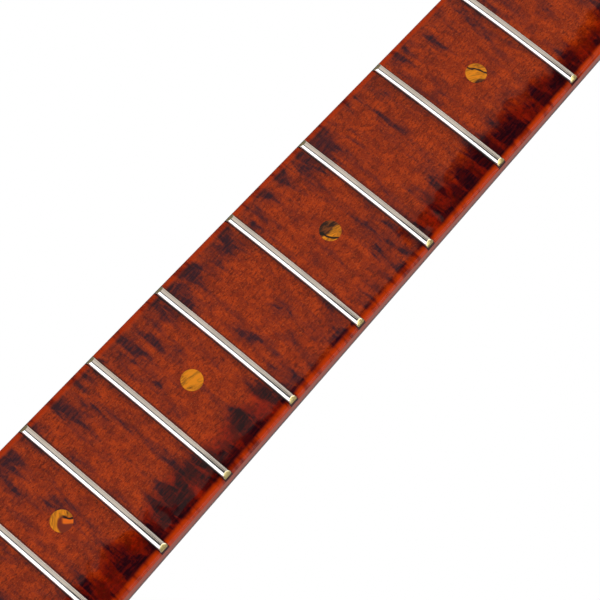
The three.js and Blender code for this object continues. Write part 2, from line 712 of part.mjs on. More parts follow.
add('tuner_plate_treble', tunerPlateGeometry(1), NICKEL, headstock);
add('tuner_plate_bass', tunerPlateGeometry(-1), NICKEL, headstock);
const worm = wormGeometry();
const post = postGeometry();
for (const { side, name, x, z } of postPlaces()) {
  const wormMesh = add(`tuner_worm_${name}`, worm, NICKEL, headstock);
  wormMesh.position.set(x, GEAR_Y, z - WORM_OFFSET);
  wormMesh.rotation.z = side > 0 ? 0 : Math.PI;
  add(`tuner_post_${name}`, post, BRASS, headstock).position.set(x, 0, z);
}

// ---------------------------------------------------------------- sound box

function soundboardGeometry() {
  const shape = new THREE.Shape(inset(OUTLINE, BINDING_WIDTH + GLUE_GAP));
  shape.holes.push(circle(SOUNDHOLE_RADIUS, 0, SOUNDHOLE_Z));
  const board = plate(shape, BODY_FACE, BODY_FACE + PLATE_THICKNESS, 18);
  const groove = circle(ROSETTE_OUTER + GLUE_GAP, 0, SOUNDHOLE_Z);
  groove.holes.push(circle(ROSETTE_INNER - GLUE_GAP, 0, SOUNDHOLE_Z));
  return cut(board, [plate(groove, BODY_FACE - 1, BODY_FACE + ROSETTE_DEPTH + GLUE_GAP, 18)]);
}

function rosetteGeometry() {
  const shape = circle(ROSETTE_OUTER, 0, SOUNDHOLE_Z);
  shape.holes.push(circle(ROSETTE_INNER, 0, SOUNDHOLE_Z));
  return plate(shape, BODY_FACE, BODY_FACE + ROSETTE_DEPTH, 18);
}

function backPlateGeometry() {
  return bodyPrism(BINDING_WIDTH + GLUE_GAP, BODY_BACK - PLATE_THICKNESS, BODY_BACK);
}

function bindingGeometry(front) {
  return bodyRing(0, BINDING_WIDTH, front, front + BINDING_HEIGHT);
}

// Room for the neck's tenon, through the sides and into the neck block.
function mortise() {
  const halfWidth = TENON_HALF_WIDTH + FIT_GAP;
  const end = JOINT_Z - TENON_LENGTH - FIT_GAP;
  return box(-halfWidth, halfWidth, TENON_FRONT - FIT_GAP, TENON_BACK + FIT_GAP, end, JOINT_Z + 5);
}

function endPinHole(radius) {
  const middle = (BODY_FACE + BODY_BACK) / 2;
  return rodAlongZ(radius, TAIL_Z - 5, TAIL_Z + TAIL_BLOCK_LENGTH + 5).translate(0, middle, 0);
}

function sideGeometry(side) {
  const front = BODY_FACE + BINDING_HEIGHT + GLUE_GAP;
  const back = BODY_BACK - BINDING_HEIGHT - GLUE_GAP;
  const wall = bodyRing(0, SIDE_THICKNESS, front, back);
  const seam = GLUE_GAP / 2;
  const reach = BODY_HALF_WIDTH + 5;
  const [from, to] = side > 0 ? [seam, reach] : [-reach, -seam];
  const half = box(from, to, front - 5, back + 5, TAIL_Z - 5, JOINT_Z + 5);
  return cut(common(wall, half), [mortise(), endPinHole(END_PIN_SHAFT_RADIUS + FIT_GAP)]);
}

function liningGeometry(front, back) {
  return bodyRing(LINING_INSET, LINING_INSET + LINING_WIDTH, front, back);
}

// A block fills the space between the plates, notched where the linings pass over it.
function blockGeometry(zMin, zMax, extraCuts) {
  const core = box(-BLOCK_HALF_WIDTH, BLOCK_HALF_WIDTH, INSIDE_FRONT, INSIDE_BACK, zMin, zMax);
  const inside = bodyPrism(LINING_INSET, INSIDE_FRONT - 1, INSIDE_BACK + 1);
  const notchInset = LINING_INSET + LINING_WIDTH + FIT_GAP;
  const notchDepth = LINING_HEIGHT + FIT_GAP;
  const notches = [
    bodyRing(-1, notchInset, INSIDE_FRONT - 2, INSIDE_FRONT + notchDepth),
    bodyRing(-1, notchInset, INSIDE_BACK - notchDepth, INSIDE_BACK + 2),
  ];
  return cut(common(core, inside), [...notches, ...extraCuts]);
}

function neckBlockGeometry() {
  return blockGeometry(JOINT_Z - NECK_BLOCK_LENGTH, JOINT_Z, [mortise()]);
}

function tailBlockGeometry() {
  const hole = endPinHole(END_PIN_SHAFT_RADIUS + FIT_GAP);
  return blockGeometry(TAIL_Z - 5, TAIL_Z + TAIL_BLOCK_LENGTH, [hole]);
}

// A straight brace between two points of the plate, seen in x and z.
function brace(from, to, front, back, width = BRACE_WIDTH) {
  const along = to.clone().sub(from);
  const geometry = box(-along.length() / 2, along.length() / 2, front, back, -width / 2, width / 2);
  const middle = from.clone().add(to).multiplyScalar(0.5);
  return geometry.rotateY(-along.angle()).translate(middle.x, 0, middle.y);
}

// Crossed braces, a bar above the soundhole and a plate under the bridge, let into each other.
function topBracingGeometry() {
  const front = INSIDE_FRONT;
  const back = front + BRACE_HEIGHT;
  const upper = new THREE.Vector2(UPPER_BRACE_X, UPPER_BRACE_Z);
  const lower = new THREE.Vector2(LOWER_BRACE_X, LOWER_BRACE_Z);
  const crossing = new THREE.Vector2(0, CROSSING_Z);
  const mirrored = ({ x, y }) => new THREE.Vector2(-x, y);
  const legs = [upper, lower, mirrored(upper), mirrored(lower)]
    .map((end) => brace(crossing, end, front, back));
  const crossbar = brace(mirrored(upper), upper, front, back);
  const bridgePlate = box(
    -BRIDGE_PLATE_HALF_LENGTH, BRIDGE_PLATE_HALF_LENGTH,
    front, front + THIN_BRACE_HEIGHT,
    SADDLE_Z - BRIDGE_PLATE_HALF_WIDTH, SADDLE_Z + BRIDGE_PLATE_HALF_WIDTH,
  );
  return join([...legs, crossbar, bridgePlate]);
}

// Four ladder braces across the back, joined by the strip that covers its centre seam.
function backBracingGeometry() {
  const back = INSIDE_BACK;
  const front = back - BRACE_HEIGHT;
  const half = BRACE_WIDTH / 2;
  const bars = BACK_BRACES
    .map(({ z, halfLength }) => box(-halfLength, halfLength, front, back, z - half, z + half));
  const stripStart = TAIL_Z + TAIL_BLOCK_LENGTH + 1;
  const stripEnd = JOINT_Z - NECK_BLOCK_LENGTH - 1;
  const strip = box(
    -SEAM_STRIP_HALF_WIDTH, SEAM_STRIP_HALF_WIDTH,
    back - THIN_BRACE_HEIGHT, back,
    stripStart, stripEnd,
  );
  return join([strip, ...bars]);
}

add('soundboard', soundboardGeometry(), SPRUCE);
add('rosette', rosetteGeometry(), DARK_WOOD);
add('back_plate', backPlateGeometry(), STAINED_MAPLE);
add('top_binding', bindingGeometry(BODY_FACE), BLACK_BINDING);
add('back_binding', bindingGeometry(BODY_BACK - BINDING_HEIGHT), BLACK_BINDING);
add('side_treble', sideGeometry(1), STAINED_MAPLE);
add('side_bass', sideGeometry(-1), STAINED_MAPLE);
add('top_lining', liningGeometry(INSIDE_FRONT, INSIDE_FRONT + LINING_HEIGHT), BARE_SPRUCE);
add('back_lining', liningGeometry(INSIDE_BACK - LINING_HEIGHT, INSIDE_BACK), BARE_SPRUCE);
add('neck_block', neckBlockGeometry(), MAHOGANY);
add('tail_block', tailBlockGeometry(), MAHOGANY);
add('top_bracing', topBracingGeometry(), BARE_SPRUCE);
add('back_bracing', backBracingGeometry(), BARE_SPRUCE);

// ---------------------------------------------------------------- bridge, saddle and end pin

function bridgeGeometry() {
  const base = BODY_FACE - GLUE_GAP;
  const shape = new THREE.Shape();
  shape.moveTo(-BRIDGE_HALF_LENGTH, -base);
  shape.lineTo(BRIDGE_HALF_LENGTH, -base);
  shape.lineTo(BRIDGE_HALF_LENGTH, BRIDGE_WING_HEIGHT - base);
  shape.lineTo(BRIDGE_BLOCK_HALF_LENGTH + 7, BRIDGE_WING_HEIGHT - base);
  shape.quadraticCurveTo(
    BRIDGE_BLOCK_HALF_LENGTH + 2, BRIDGE_WING_HEIGHT - base,
    BRIDGE_BLOCK_HALF_LENGTH, BRIDGE_HEIGHT - base,
  );
  shape.lineTo(-BRIDGE_BLOCK_HALF_LENGTH, BRIDGE_HEIGHT - base);
  shape.quadraticCurveTo(
    -BRIDGE_BLOCK_HALF_LENGTH - 2, BRIDGE_WING_HEIGHT - base,
    -BRIDGE_BLOCK_HALF_LENGTH - 7, BRIDGE_WING_HEIGHT - base,
  );
  shape.lineTo(-BRIDGE_HALF_LENGTH, BRIDGE_WING_HEIGHT - base);
  const blank = bar(shape, SADDLE_Z - BRIDGE_BEHIND_SADDLE, BRIDGE_WIDTH, 5);
  const top = base - BRIDGE_HEIGHT;
  const slotHalf = SADDLE_THICKNESS / 2 + FIT_GAP / 2;
  const slotLength = SADDLE_HALF_LENGTH + FIT_GAP / 2;
  const slotFloor = top + SADDLE_SLOT_DEPTH;
  const slot = box(-slotLength, slotLength, top - 1, slotFloor, SADDLE_Z - slotHalf, SADDLE_Z + slotHalf);
  const channel = box(-slotLength, slotLength, top - 1, top + 3.2, SADDLE_Z - 9, SADDLE_Z - 5);
  const holes = stringPlaces(BRIDGE_COURSE_SPACING, BRIDGE_PAIR_SPACING)
    .map((x) => rodAlongZ(STRING_HOLE_RADIUS, SADDLE_Z - 25, SADDLE_Z - 7, 8).translate(x, top + 1.9, 0));
  return cut(blank, [slot, channel, ...holes]);
}

function saddleGeometry() {
  const bottom = BODY_FACE - GLUE_GAP - BRIDGE_HEIGHT + SADDLE_SLOT_DEPTH - FIT_GAP / 2;
  const shape = new THREE.Shape();
  shape.moveTo(-SADDLE_HALF_LENGTH, -bottom);
  shape.lineTo(SADDLE_HALF_LENGTH, -bottom);
  shape.lineTo(SADDLE_HALF_LENGTH, -SADDLE_TOP - 1.6);
  shape.quadraticCurveTo(0, -SADDLE_TOP + 1.6, -SADDLE_HALF_LENGTH, -SADDLE_TOP - 1.6);
  return bar(shape, SADDLE_Z - SADDLE_THICKNESS / 2, SADDLE_THICKNESS, 10);
}

// Turned end pin: the shaft sits in the tail block and the waisted head stands out below the tail.
function endPinGeometry() {
  const head = END_PIN_HEAD_LENGTH;
  const profile = [
    [0, -head],
    [4.5, -head],
    [END_PIN_HEAD_RADIUS, -head + 2.5],
    [END_PIN_HEAD_RADIUS - 0.6, -head + 4.5],
    [4.2, -7],
    [4.6, -4],
    [END_PIN_HEAD_RADIUS, -2],
    [END_PIN_HEAD_RADIUS, -FIT_GAP],
    [END_PIN_SHAFT_RADIUS, -FIT_GAP],
    [END_PIN_SHAFT_RADIUS - 0.4, TAIL_BLOCK_LENGTH - 1],
    [0, TAIL_BLOCK_LENGTH - 1],
  ].map(([radius, along]) => new THREE.Vector2(radius, along));
  const middle = (BODY_FACE + BODY_BACK) / 2;
  return new THREE.LatheGeometry(profile, 14).rotateX(Math.PI / 2).translate(0, middle, TAIL_Z);
}

add('bridge', bridgeGeometry(), DARK_WOOD);
add('saddle', saddleGeometry(), BONE);
add('end_pin', endPinGeometry(), DARK_WOOD);

export default instrument;
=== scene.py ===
"""Looks of a flat-backed bouzouki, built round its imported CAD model.

Metres, in the part's own frame: +Z up the neck, -Y out of the playing face, +X to the treble side.
"""

from math import copysign, cos, log, pi, radians, sin, sqrt

import bmesh
import bpy
from mathutils import Matrix, Vector, geometry

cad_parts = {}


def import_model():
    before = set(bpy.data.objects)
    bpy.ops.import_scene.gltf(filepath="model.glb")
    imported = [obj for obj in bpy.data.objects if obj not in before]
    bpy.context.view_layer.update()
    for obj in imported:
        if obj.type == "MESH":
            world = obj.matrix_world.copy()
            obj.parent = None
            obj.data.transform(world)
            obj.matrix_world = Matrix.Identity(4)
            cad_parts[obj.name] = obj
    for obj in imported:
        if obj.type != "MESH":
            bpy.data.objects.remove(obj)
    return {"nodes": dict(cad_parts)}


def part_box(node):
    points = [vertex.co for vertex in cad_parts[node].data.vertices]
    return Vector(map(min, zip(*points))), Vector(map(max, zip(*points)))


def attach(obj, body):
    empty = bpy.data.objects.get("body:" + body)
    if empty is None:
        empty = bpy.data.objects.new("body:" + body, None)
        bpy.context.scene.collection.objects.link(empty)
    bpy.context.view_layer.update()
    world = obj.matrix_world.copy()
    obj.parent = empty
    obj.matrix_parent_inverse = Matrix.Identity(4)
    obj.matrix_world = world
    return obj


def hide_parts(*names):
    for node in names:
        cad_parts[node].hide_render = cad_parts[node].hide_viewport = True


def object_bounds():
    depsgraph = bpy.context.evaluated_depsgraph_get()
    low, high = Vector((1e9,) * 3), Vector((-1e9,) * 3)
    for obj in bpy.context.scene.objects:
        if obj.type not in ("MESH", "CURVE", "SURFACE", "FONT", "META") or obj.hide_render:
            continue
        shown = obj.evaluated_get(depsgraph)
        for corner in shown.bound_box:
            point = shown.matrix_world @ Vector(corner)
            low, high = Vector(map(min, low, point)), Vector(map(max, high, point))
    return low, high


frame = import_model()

MM = 0.001
ROOT = "instrument"
CAD_LOW, CAD_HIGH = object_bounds()


def centre(node):
    low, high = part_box(node)
    return (low + high) / 2


def evenly(span, count):
    """Values from 0 to a span in even steps, with both ends."""
    return [span * i / count for i in range(count + 1)]


# ------ sizes

BOARD_LOW, BOARD_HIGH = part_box("fretboard")
NUT_LOW, NUT_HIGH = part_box("nut")
FRETS = sorted(name for name in frame["nodes"] if name.startswith("fret_"))
FRET_RISE = -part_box(FRETS[0])[0].y
SCALE_LENGTH = -2 * centre("fret_12").z
NUT_HALF_WIDTH = NUT_HIGH.x
TAPER = (BOARD_HIGH.x - NUT_HALF_WIDTH) / -BOARD_LOW.z
BOARD_RADIUS = 445 * MM
SHOULDER_WIDTH = 2.0 * MM
SHOULDER_DROP = 1.2 * MM
DOT_RADIUS = 2.95 * MM
DOT_DEPTH = 0.6 * MM

# the gap between neighbouring pieces, and the bevel of an edge that looks sharp
SEAM = 0.1 * MM
CRISP = 0.02 * MM

SIDES = ((1, "treble"), (-1, "bass"))
HEAD = Matrix.Translation((0, 2 * MM, 5 * MM)) @ Matrix.Rotation(radians(-13), 4, "X")
HEAD_BACK = 16 * MM
HEAD_LENGTH = 150 * MM
VENEER_BACK = 1.7 * MM
POST_X = 24.5 * MM
POST_HOLE = 4.2 * MM
FIRST_POST = 42 * MM
POST_SPACING = 26 * MM
GEAR_LEVEL = 21.5 * MM
WORM_BEHIND = 8.9 * MM
PLATE_FRONT = 16.3 * MM
PLATE_BACK = 17.5 * MM

# side, name and height up the headstock of each machine
POSTS = [(s, f"{name}_{row + 1}", FIRST_POST + row * POST_SPACING) for s, name in SIDES for row in range(4)]

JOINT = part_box("side_treble")[1].z
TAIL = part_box("side_treble")[0].z
BODY_HALF_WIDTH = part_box("top_binding")[1].x
HEEL_HALF = 17 * MM
HEEL_LENGTH = 22 * MM
BODY_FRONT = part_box("top_binding")[0].y
BODY_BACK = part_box("back_binding")[1].y
BODY_MIDDLE = -606 * MM
BODY_HALF_LENGTH = 205 * MM
SHOULDER_HALF = 29 * MM
PLATE_THICK = 3 * MM
BINDING_WIDTH = 2 * MM
BINDING_DEPTH = 6 * MM
HOLE = Vector((0, 0, -497 * MM))
HOLE_RADIUS = 43 * MM
ROSETTE_RADIUS = 50 * MM
ROSETTE_HALF = 4 * MM
SADDLE = centre("saddle")


def half_width(z):
    return NUT_HALF_WIDTH - TAPER * min(z, 0)


def crown_drop(x):
    """How far the crowned playing surface has dropped at a distance from the centre line."""
    return BOARD_RADIUS - sqrt(BOARD_RADIUS**2 - x**2)


def board_surface(x, z):
    """Depth in y of the board's surface, which rolls over along both edges."""
    reach = abs(x) - (half_width(z) - SHOULDER_WIDTH)
    if reach <= 0:
        return crown_drop(x)
    share = min(reach / SHOULDER_WIDTH, 1)
    return crown_drop(x) + SHOULDER_DROP * (1 - sqrt(1 - share**2))


# ------ mesh tools


def new_object(name, vertices, faces):
    mesh = bpy.data.meshes.new(name)
    mesh.from_pydata([tuple(v) for v in vertices], [], faces)
    made = bpy.data.objects.new(name, mesh)
    bpy.context.scene.collection.objects.link(made)
    return made


def new_shell(name, vertices, faces):
    """An object whose closed mesh has its faces turned outwards."""
    made = new_object(name, vertices, faces)
    work = bmesh.new()
    work.from_mesh(made.data)
    bmesh.ops.recalc_face_normals(work, faces=work.faces)
    work.to_mesh(made.data)
    work.free()
    return made


def piece(name, shells, material, body=ROOT, replaces=None, sharp=30):
    """A mesh of one or more closed shells, each (vertices, faces), that rides on a CAD body."""
    vertices, faces = [], []
    for shell_vertices, shell_faces in shells:
        start = len(vertices)
        vertices += shell_vertices
        faces += [tuple(start + i for i in face) for face in shell_faces]
    made = new_shell(name, vertices, faces)
    mesh = made.data
    mesh.polygons.foreach_set("use_smooth", [True] * len(mesh.polygons))
    mesh.set_sharp_from_angle(angle=radians(sharp))
    mesh.materials.append(material)
    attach(made, body)
    if replaces:
        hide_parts(replaces)
    return made


def combined(operation, shell, tools):
    """A shell with other shells cut out of it or joined to it."""
    objects = [new_shell("part", *parts) for parts in (shell, *tools)]
    whole = objects[0]
    for tool in objects[1:]:
        step = whole.modifiers.new("step", "BOOLEAN")
        step.operation = operation
        step.solver = "EXACT"
        step.object = tool
    bpy.context.view_layer.update()
    mesh = bpy.data.meshes.new_from_object(whole.evaluated_get(bpy.context.evaluated_depsgraph_get()))
    result = ([v.co.copy() for v in mesh.vertices], [tuple(p.vertices) for p in mesh.polygons])
    for made in objects:
        bpy.data.objects.remove(made)
    return result


def strips(start, rings, count):
    """Faces between rings of vertices that follow one another from a starting number."""
    faces = []
    for low in range(start, start + (rings - 1) * count, count):
        for i in range(count):
            j = (i + 1) % count
            faces.append((low + i, low + j, low + count + j, low + count + i))
    return faces


def fan(count):
    """Faces from vertex 0 to the ring after it."""
    return [(0, 1 + (i + 1) % count, 1 + i) for i in range(count)]


def disc_faces(rings, sides):
    """Faces of a disc: a middle point, rings round it, a ring under the rim and a flat base."""
    base = 1 + rings * sides
    return fan(sides) + strips(1, rings + 1, sides) + [tuple(range(base, base + sides))]


def loft(rings):
    """Closed shell through rings of equal length."""
    count = len(rings[0])
    vertices = [point for ring in rings for point in ring]
    faces = strips(0, len(rings), count)
    faces.append(tuple(range(count)))
    last = (len(rings) - 1) * count
    faces.append(tuple(reversed(range(last, last + count))))
    return vertices, faces


def inset(outline, distance):
    """A closed outline of (a, b) points moved inwards, with mitred corners."""
    area = sum(p[0] * q[1] - q[0] * p[1] for p, q in zip(outline, outline[1:] + outline[:1]))
    turn = 1 if area > 0 else -1
    moved = []
    for before, here, after in zip(outline[-1:] + outline[:-1], outline, outline[1:] + outline[:1]):
        a = (Vector(here) - Vector(before)).normalized()
        b = (Vector(after) - Vector(here)).normalized()
        lean = (Vector((-a.y, a.x)) + Vector((-b.y, b.x))) * turn
        lean.normalize()
        spread = max(lean.dot(Vector((-b.y, b.x)) * turn), 0.4)
        moved.append(tuple(Vector(here) + lean * (distance / spread)))
    return moved


def slab(outline, front, back, place, holes=(), bevel=0.0, steps=3, back_bevel=None):
    """Plate with rounded edges; place(a, b, depth) puts a point of the outline in space."""
    back_bevel = bevel if back_bevel is None else back_bevel
    quarter = evenly(pi / 2, steps)
    levels = [(bevel * (1 - sin(a)), front + bevel * (1 - cos(a))) for a in quarter]
    levels += [(back_bevel * (1 - cos(a)), back - back_bevel * (1 - sin(a))) for a in quarter]
    vertices, faces, caps = [], [], ([], [])
    for loop, side in [(outline, 1)] + [(hole, -1) for hole in holes]:
        start = len(vertices)
        for number, (distance, depth) in enumerate(levels):
            ring = inset(loop, side * distance) if distance > 0 else loop
            vertices += [place(a, b, depth) for a, b in ring]
            if number == 0:
                caps[0].append(ring)
            if number == len(levels) - 1:
                caps[1].append(ring)
        faces += strips(start, len(levels), len(loop))
    for end, loops in enumerate(caps):
        index = []
        start = 0
        for loop in loops:
            first = start + end * (len(levels) - 1) * len(loop)
            index += range(first, first + len(loop))
            start += len(levels) * len(loop)
        flat = [[Vector((a, b, 0)) for a, b in loop] for loop in loops]
        for triangle in geometry.tessellate_polygon(flat):
            faces.append(tuple(index[i] for i in triangle))
    return vertices, faces


def scaled(points):
    return [(a * MM, b * MM) for a, b in points]


def lathe(profile, place, sides=32):
    """Turned shell from (radius, along) points in mm whose ends lie on the axis."""
    profile = scaled(profile)
    vertices = [place(0, 0, profile[0][1])]
    for radius, along in profile[1:-1]:
        for side in range(sides):
            angle = 2 * pi * side / sides
            vertices.append(place(radius * cos(angle), radius * sin(angle), along))
    vertices.append(place(0, 0, profile[-1][1]))
    rings = len(profile) - 2
    faces = fan(sides) + strips(1, rings, sides)
    last = 1 + (rings - 1) * sides
    faces += [(last + s, last + (s + 1) % sides, len(vertices) - 1) for s in range(sides)]
    return vertices, faces


def in_xz(a, b, depth):
    return Vector((a, depth, b))


def in_xy(a, b, depth):
    return Vector((a, b, depth))


def in_head(a, b, depth):
    return HEAD @ Vector((a, depth, b))


def circle(radius, x=0.0, z=0.0, sides=48):
    angles = [2 * pi * i / sides for i in range(sides)]
    return [(x + radius * cos(angle), z + radius * sin(angle)) for angle in angles]


def rectangle(half, low, high):
    return [(-half, low), (half, low), (half, high), (-half, high)]


def curve(a, b, c, d, steps=24):
    """Points of a cubic curve, without the last one."""
    points = []
    for i in range(steps):
        t = i / steps
        w = ((1 - t) ** 3, 3 * t * (1 - t) ** 2, 3 * t * t * (1 - t), t**3)
        points.append(tuple(sum(w[k] * p[axis] for k, p in enumerate((a, b, c, d))) for axis in (0, 1)))
    return points


# ------ material tools


class Signal:
    """A value in a node tree; arithmetic on it adds Math nodes."""

    def __init__(self, socket):
        self.socket = socket
        self.tree = socket.id_data

    def calc(self, operation, *others):
        inputs = dict(enumerate((self, *others)))
        return flow(self.tree, "Math", inputs, operation=operation)

    def __add__(self, other):
        return self.calc("ADD", other)

    def __sub__(self, other):
        return self.calc("SUBTRACT", other)

    def __mul__(self, other):
        return self.calc("MULTIPLY", other)

    def __truediv__(self, other):
        return self.calc("DIVIDE", other)

    def __abs__(self):
        return self.calc("ABSOLUTE")


def add(tree, kind, inputs=None, **settings):
    """A node with its settings made, and its inputs linked or set."""
    made = tree.nodes.new("ShaderNode" + kind)
    for key, value in settings.items():
        setattr(made, key, value)
    for socket, value in (inputs or {}).items():
        if isinstance(value, Signal):
            tree.links.new(value.socket, made.inputs[socket])
        else:
            made.inputs[socket].default_value = value
    return made


def flow(tree, kind, inputs=None, output=0, **settings):
    """An output of a new node, as a signal."""
    return Signal(add(tree, kind, inputs, **settings).outputs[output])


def new_material(name, **constants):
    """A material, its shader with these constants set, and the point's place in the part at rest."""
    material = bpy.data.materials.new(name)
    material.use_nodes = True
    shader = material.node_tree.nodes["Principled BSDF"]
    for socket, value in constants.items():
        shader.inputs[socket.replace("_", " ")].default_value = value
    return material, shader, flow(material.node_tree, "TexCoord", output="Object")


def coated(name, roughness, specular, coat, coat_roughness, coat_ior=1.5):
    """As new_material, for anything but bare metal."""
    return new_material(
        name,
        Roughness=roughness,
        Specular_IOR_Level=specular,
        Coat_Weight=coat,
        Coat_Roughness=coat_roughness,
        Coat_IOR=coat_ior,
    )


def feed(node, **signals):
    """Links signals to the node's sockets of the same names."""
    for socket, signal in signals.items():
        signal.tree.links.new(signal.socket, node.inputs[socket.replace("_", " ")])


def axes(vector):
    """The vector's x, y and z."""
    return [Signal(socket) for socket in add(vector.tree, "SeparateXYZ", {0: vector}).outputs]


def distance(a, b):
    return (a * a + b * b).calc("SQRT")


def noise(vector, per_metre, detail=2.0, roughness=0.5, distortion=0.0, shift=0.0):
    """Cloudy noise with its own number of features per metre along each axis."""
    inputs = {"Vector": vector, "Scale": per_metre, "Location": (shift,) * 3}
    inputs = {
        "Vector": flow(vector.tree, "Mapping", inputs),
        "Scale": 1.0,
        "Detail": detail,
        "Roughness": roughness,
        "Distortion": distortion,
    }
    return flow(vector.tree, "TexNoise", inputs, "Fac")


def band(value, start, end):
    """Rises smoothly from 0 to 1 as the value goes from start to end."""
    inputs = {"Value": value, "From Min": start, "From Max": end}
    return flow(value.tree, "MapRange", inputs, interpolation_type="SMOOTHSTEP")


def blend(share, below, above):
    """Colour that goes from below to above as the share rises from 0 to 1."""
    inputs = {0: share}
    for socket, colour in ((6, below), (7, above)):
        inputs[socket] = colour if isinstance(colour, Signal) else (*colour, 1.0)
    return flow(share.tree, "Mix", inputs, 2, data_type="RGBA")


def bump(height, strength, reach):
    return flow(height.tree, "Bump", {"Height": height, "Strength": strength, "Distance": reach})


def tinted(colour, factor):
    return tuple(factor * c for c in colour)


# ------ materials


THIN_LACQUER_IOR = 1.32


def board_share(x, z):
    """0 on the centre line of the board and 1 at its edge."""
    return abs(x) / (z * -TAPER + NUT_HALF_WIDTH)


def fret_distance(z):
    """Metres from a point of the board to the nearest fret of an equal-tempered scale."""
    left = z + SCALE_LENGTH
    number = (left / SCALE_LENGTH).calc("LOGARITHM", 2.0) * -12.0
    off = abs(number - number.calc("ROUND"))
    return off * left * (log(2) / 12)


def lacquered_board():
    """Stained flamed maple under gloss lacquer, dark in blotches and brighter on the rolled edges, with
    painted shade along the treble side, beside the frets and in the crease of each edge, and a painted
    contact shadow at each fret.
    """
    material, shader, here = coated("lacquered_board", 0.6, 0.0, 1.0, 0.04, THIN_LACQUER_IOR)
    x, y, z = axes(here)
    share = board_share(x, z)
    to_fret = fret_distance(z)

    clouds = noise(here, (52, 52, 150), detail=3, roughness=0.5, distortion=0.3)
    flames = noise(here, (85, 85, 330), detail=4, roughness=0.6, distortion=0.35, shift=3.1)
    mottle = noise(here, (330, 330, 420), detail=5, roughness=0.68, shift=5.3)
    streaks = noise(here, (1500, 1500, 230), detail=3, roughness=0.6, shift=7.7)
    specks = noise(here, (2100, 2100, 900), detail=3, roughness=0.65, shift=9.9)
    grain = noise(here, (3300, 3300, 2400), detail=2, roughness=0.6, shift=6.1)

    orange = (0.56, 0.056, 0.0030)
    brown = (0.27, 0.0220, 0.0028)
    red = (0.34, 0.0090, 0.0012)
    deep_red = (0.12, 0.0024, 0.0008)
    pale = (0.66, 0.110, 0.024)
    purple = (0.10, 0.012, 0.009)
    ink = (0.026, 0.0060, 0.0175)
    black = (0.011, 0.0026, 0.0060)
    edge_orange = (0.54, 0.043, 0.0022)
    side_brown = (0.50, 0.105, 0.066)

    # flamed ground, deep red along the treble side as painted shade where the lacquer mirrors no light,
    # except for one paler stretch
    wood = blend(band(mottle, 0.30, 0.68), brown, orange)
    wood = blend(band(flames, 0.44, 0.66) * 0.40, wood, brown)
    paler = band(z, -0.196, -0.186) * band(z, -0.128, -0.138)
    # painted shade: the treble mask darkens that side, and there it also thins the pale flecks and blackens
    # the blotches
    treble = band(clouds * 0.5 + x / 0.023, 0.68, 0.98) * (paler * -0.75 + 0.9)
    wood = blend(treble, wood, blend(band(mottle, 0.35, 0.62), deep_red, red))
    wood = blend(band(specks, 0.48, 0.66) * 0.75, wood, tinted(brown, 0.4))
    wood = blend(band(streaks, 0.48, 0.70) * 0.45, wood, tinted(brown, 0.45))
    wood = blend(band(grain, 0.55, 0.72) * (treble * -0.5 + 0.5), wood, pale)
    wood = blend(band(grain, 0.44, 0.28) * 0.55, wood, purple)

    # dark blotches, more of them towards the edges, and more beside the frets and on the treble side as
    # painted shade
    blotch_and_shade_pull = band(share, 0.30, 0.92) * 0.085 + band(to_fret, 7 * MM, 1 * MM) * 0.035 + treble * 0.045
    body = clouds * 0.45 + flames * 0.55 + blotch_and_shade_pull
    haze = band(body, 0.48, 0.62) * 0.50
    core = band(body, 0.54, 0.65) * 0.96
    fray = band(streaks * 0.5 + mottle * 0.5, 0.38, 0.58) * 0.40 + 0.60
    wood = blend(haze.calc("MAXIMUM", core) * fray, wood, blend(treble, ink, black))

    # rolled edge with painted shade in the crease at its inner edge, the painted contact shadow where each
    # fret meets the board, and the board's side
    shoulder = band(share, 0.900, 0.955)
    # painted shade: blotches deepened to black along the crease where the crown meets the rolled edge
    rim = band(share, 0.860, 0.910) * band(share, 0.955, 0.900) * band(body, 0.54, 0.64)
    wood = blend(rim * 0.45, wood, black)
    wood = blend(shoulder, wood, blend(band(flames, 0.45, 0.72), edge_orange, deep_red))
    # painted contact shadow: a black line on either side of each fret
    wood = blend(band(to_fret, 1.58 * MM, 1.32 * MM) * 0.92, wood, black)
    wood = blend(band(y, 1.6 * MM, 1.9 * MM), wood, side_brown)

    waves = noise(here, (38, 38, 46), detail=2, roughness=0.45, distortion=0.5, shift=1.3)
    feed(shader, Base_Color=wood, Coat_Normal=bump(waves, 1.0, 0.34 * MM))
    return material


def burst_share(x, z):
    """0 over the middle of the sound box and 1 at its edge."""
    return band(distance(x / BODY_HALF_WIDTH, (z - BODY_MIDDLE) / BODY_HALF_LENGTH), 0.62, 1.08)


def lacquered_maple(name, light, dark, flame=(30, 30, 110), burst=0.0):
    """Flamed maple under tinted gloss lacquer; burst darkens it towards the edges of the sound box."""
    material, shader, here = coated(name, 0.5, 0.1, 1.0, 0.12)
    x, _, z = axes(here)
    stripes = noise(here, flame, detail=3, roughness=0.55, distortion=0.9)
    clouds = noise(here, (16, 16, 14), detail=3, shift=4.4)
    streaks = noise(here, (1300, 1300, 120), detail=3, roughness=0.6, shift=2.2)
    wood = blend(band(stripes, 0.36, 0.64), dark, light)
    wood = blend(band(clouds, 0.42, 0.7) * 0.5, wood, tinted(dark, 0.5))
    wood = blend(band(streaks, 0.5, 0.72) * 0.4, wood, tinted(dark, 0.5))
    if burst > 0:
        wood = blend(burst_share(x, z) * burst, wood, (0.02, 0.004, 0.003))
    waves = noise(here, (22, 22, 22), detail=1, shift=1.3)
    feed(shader, Base_Color=wood, Coat_Normal=bump(waves, 1.0, 0.1 * MM))
    return material


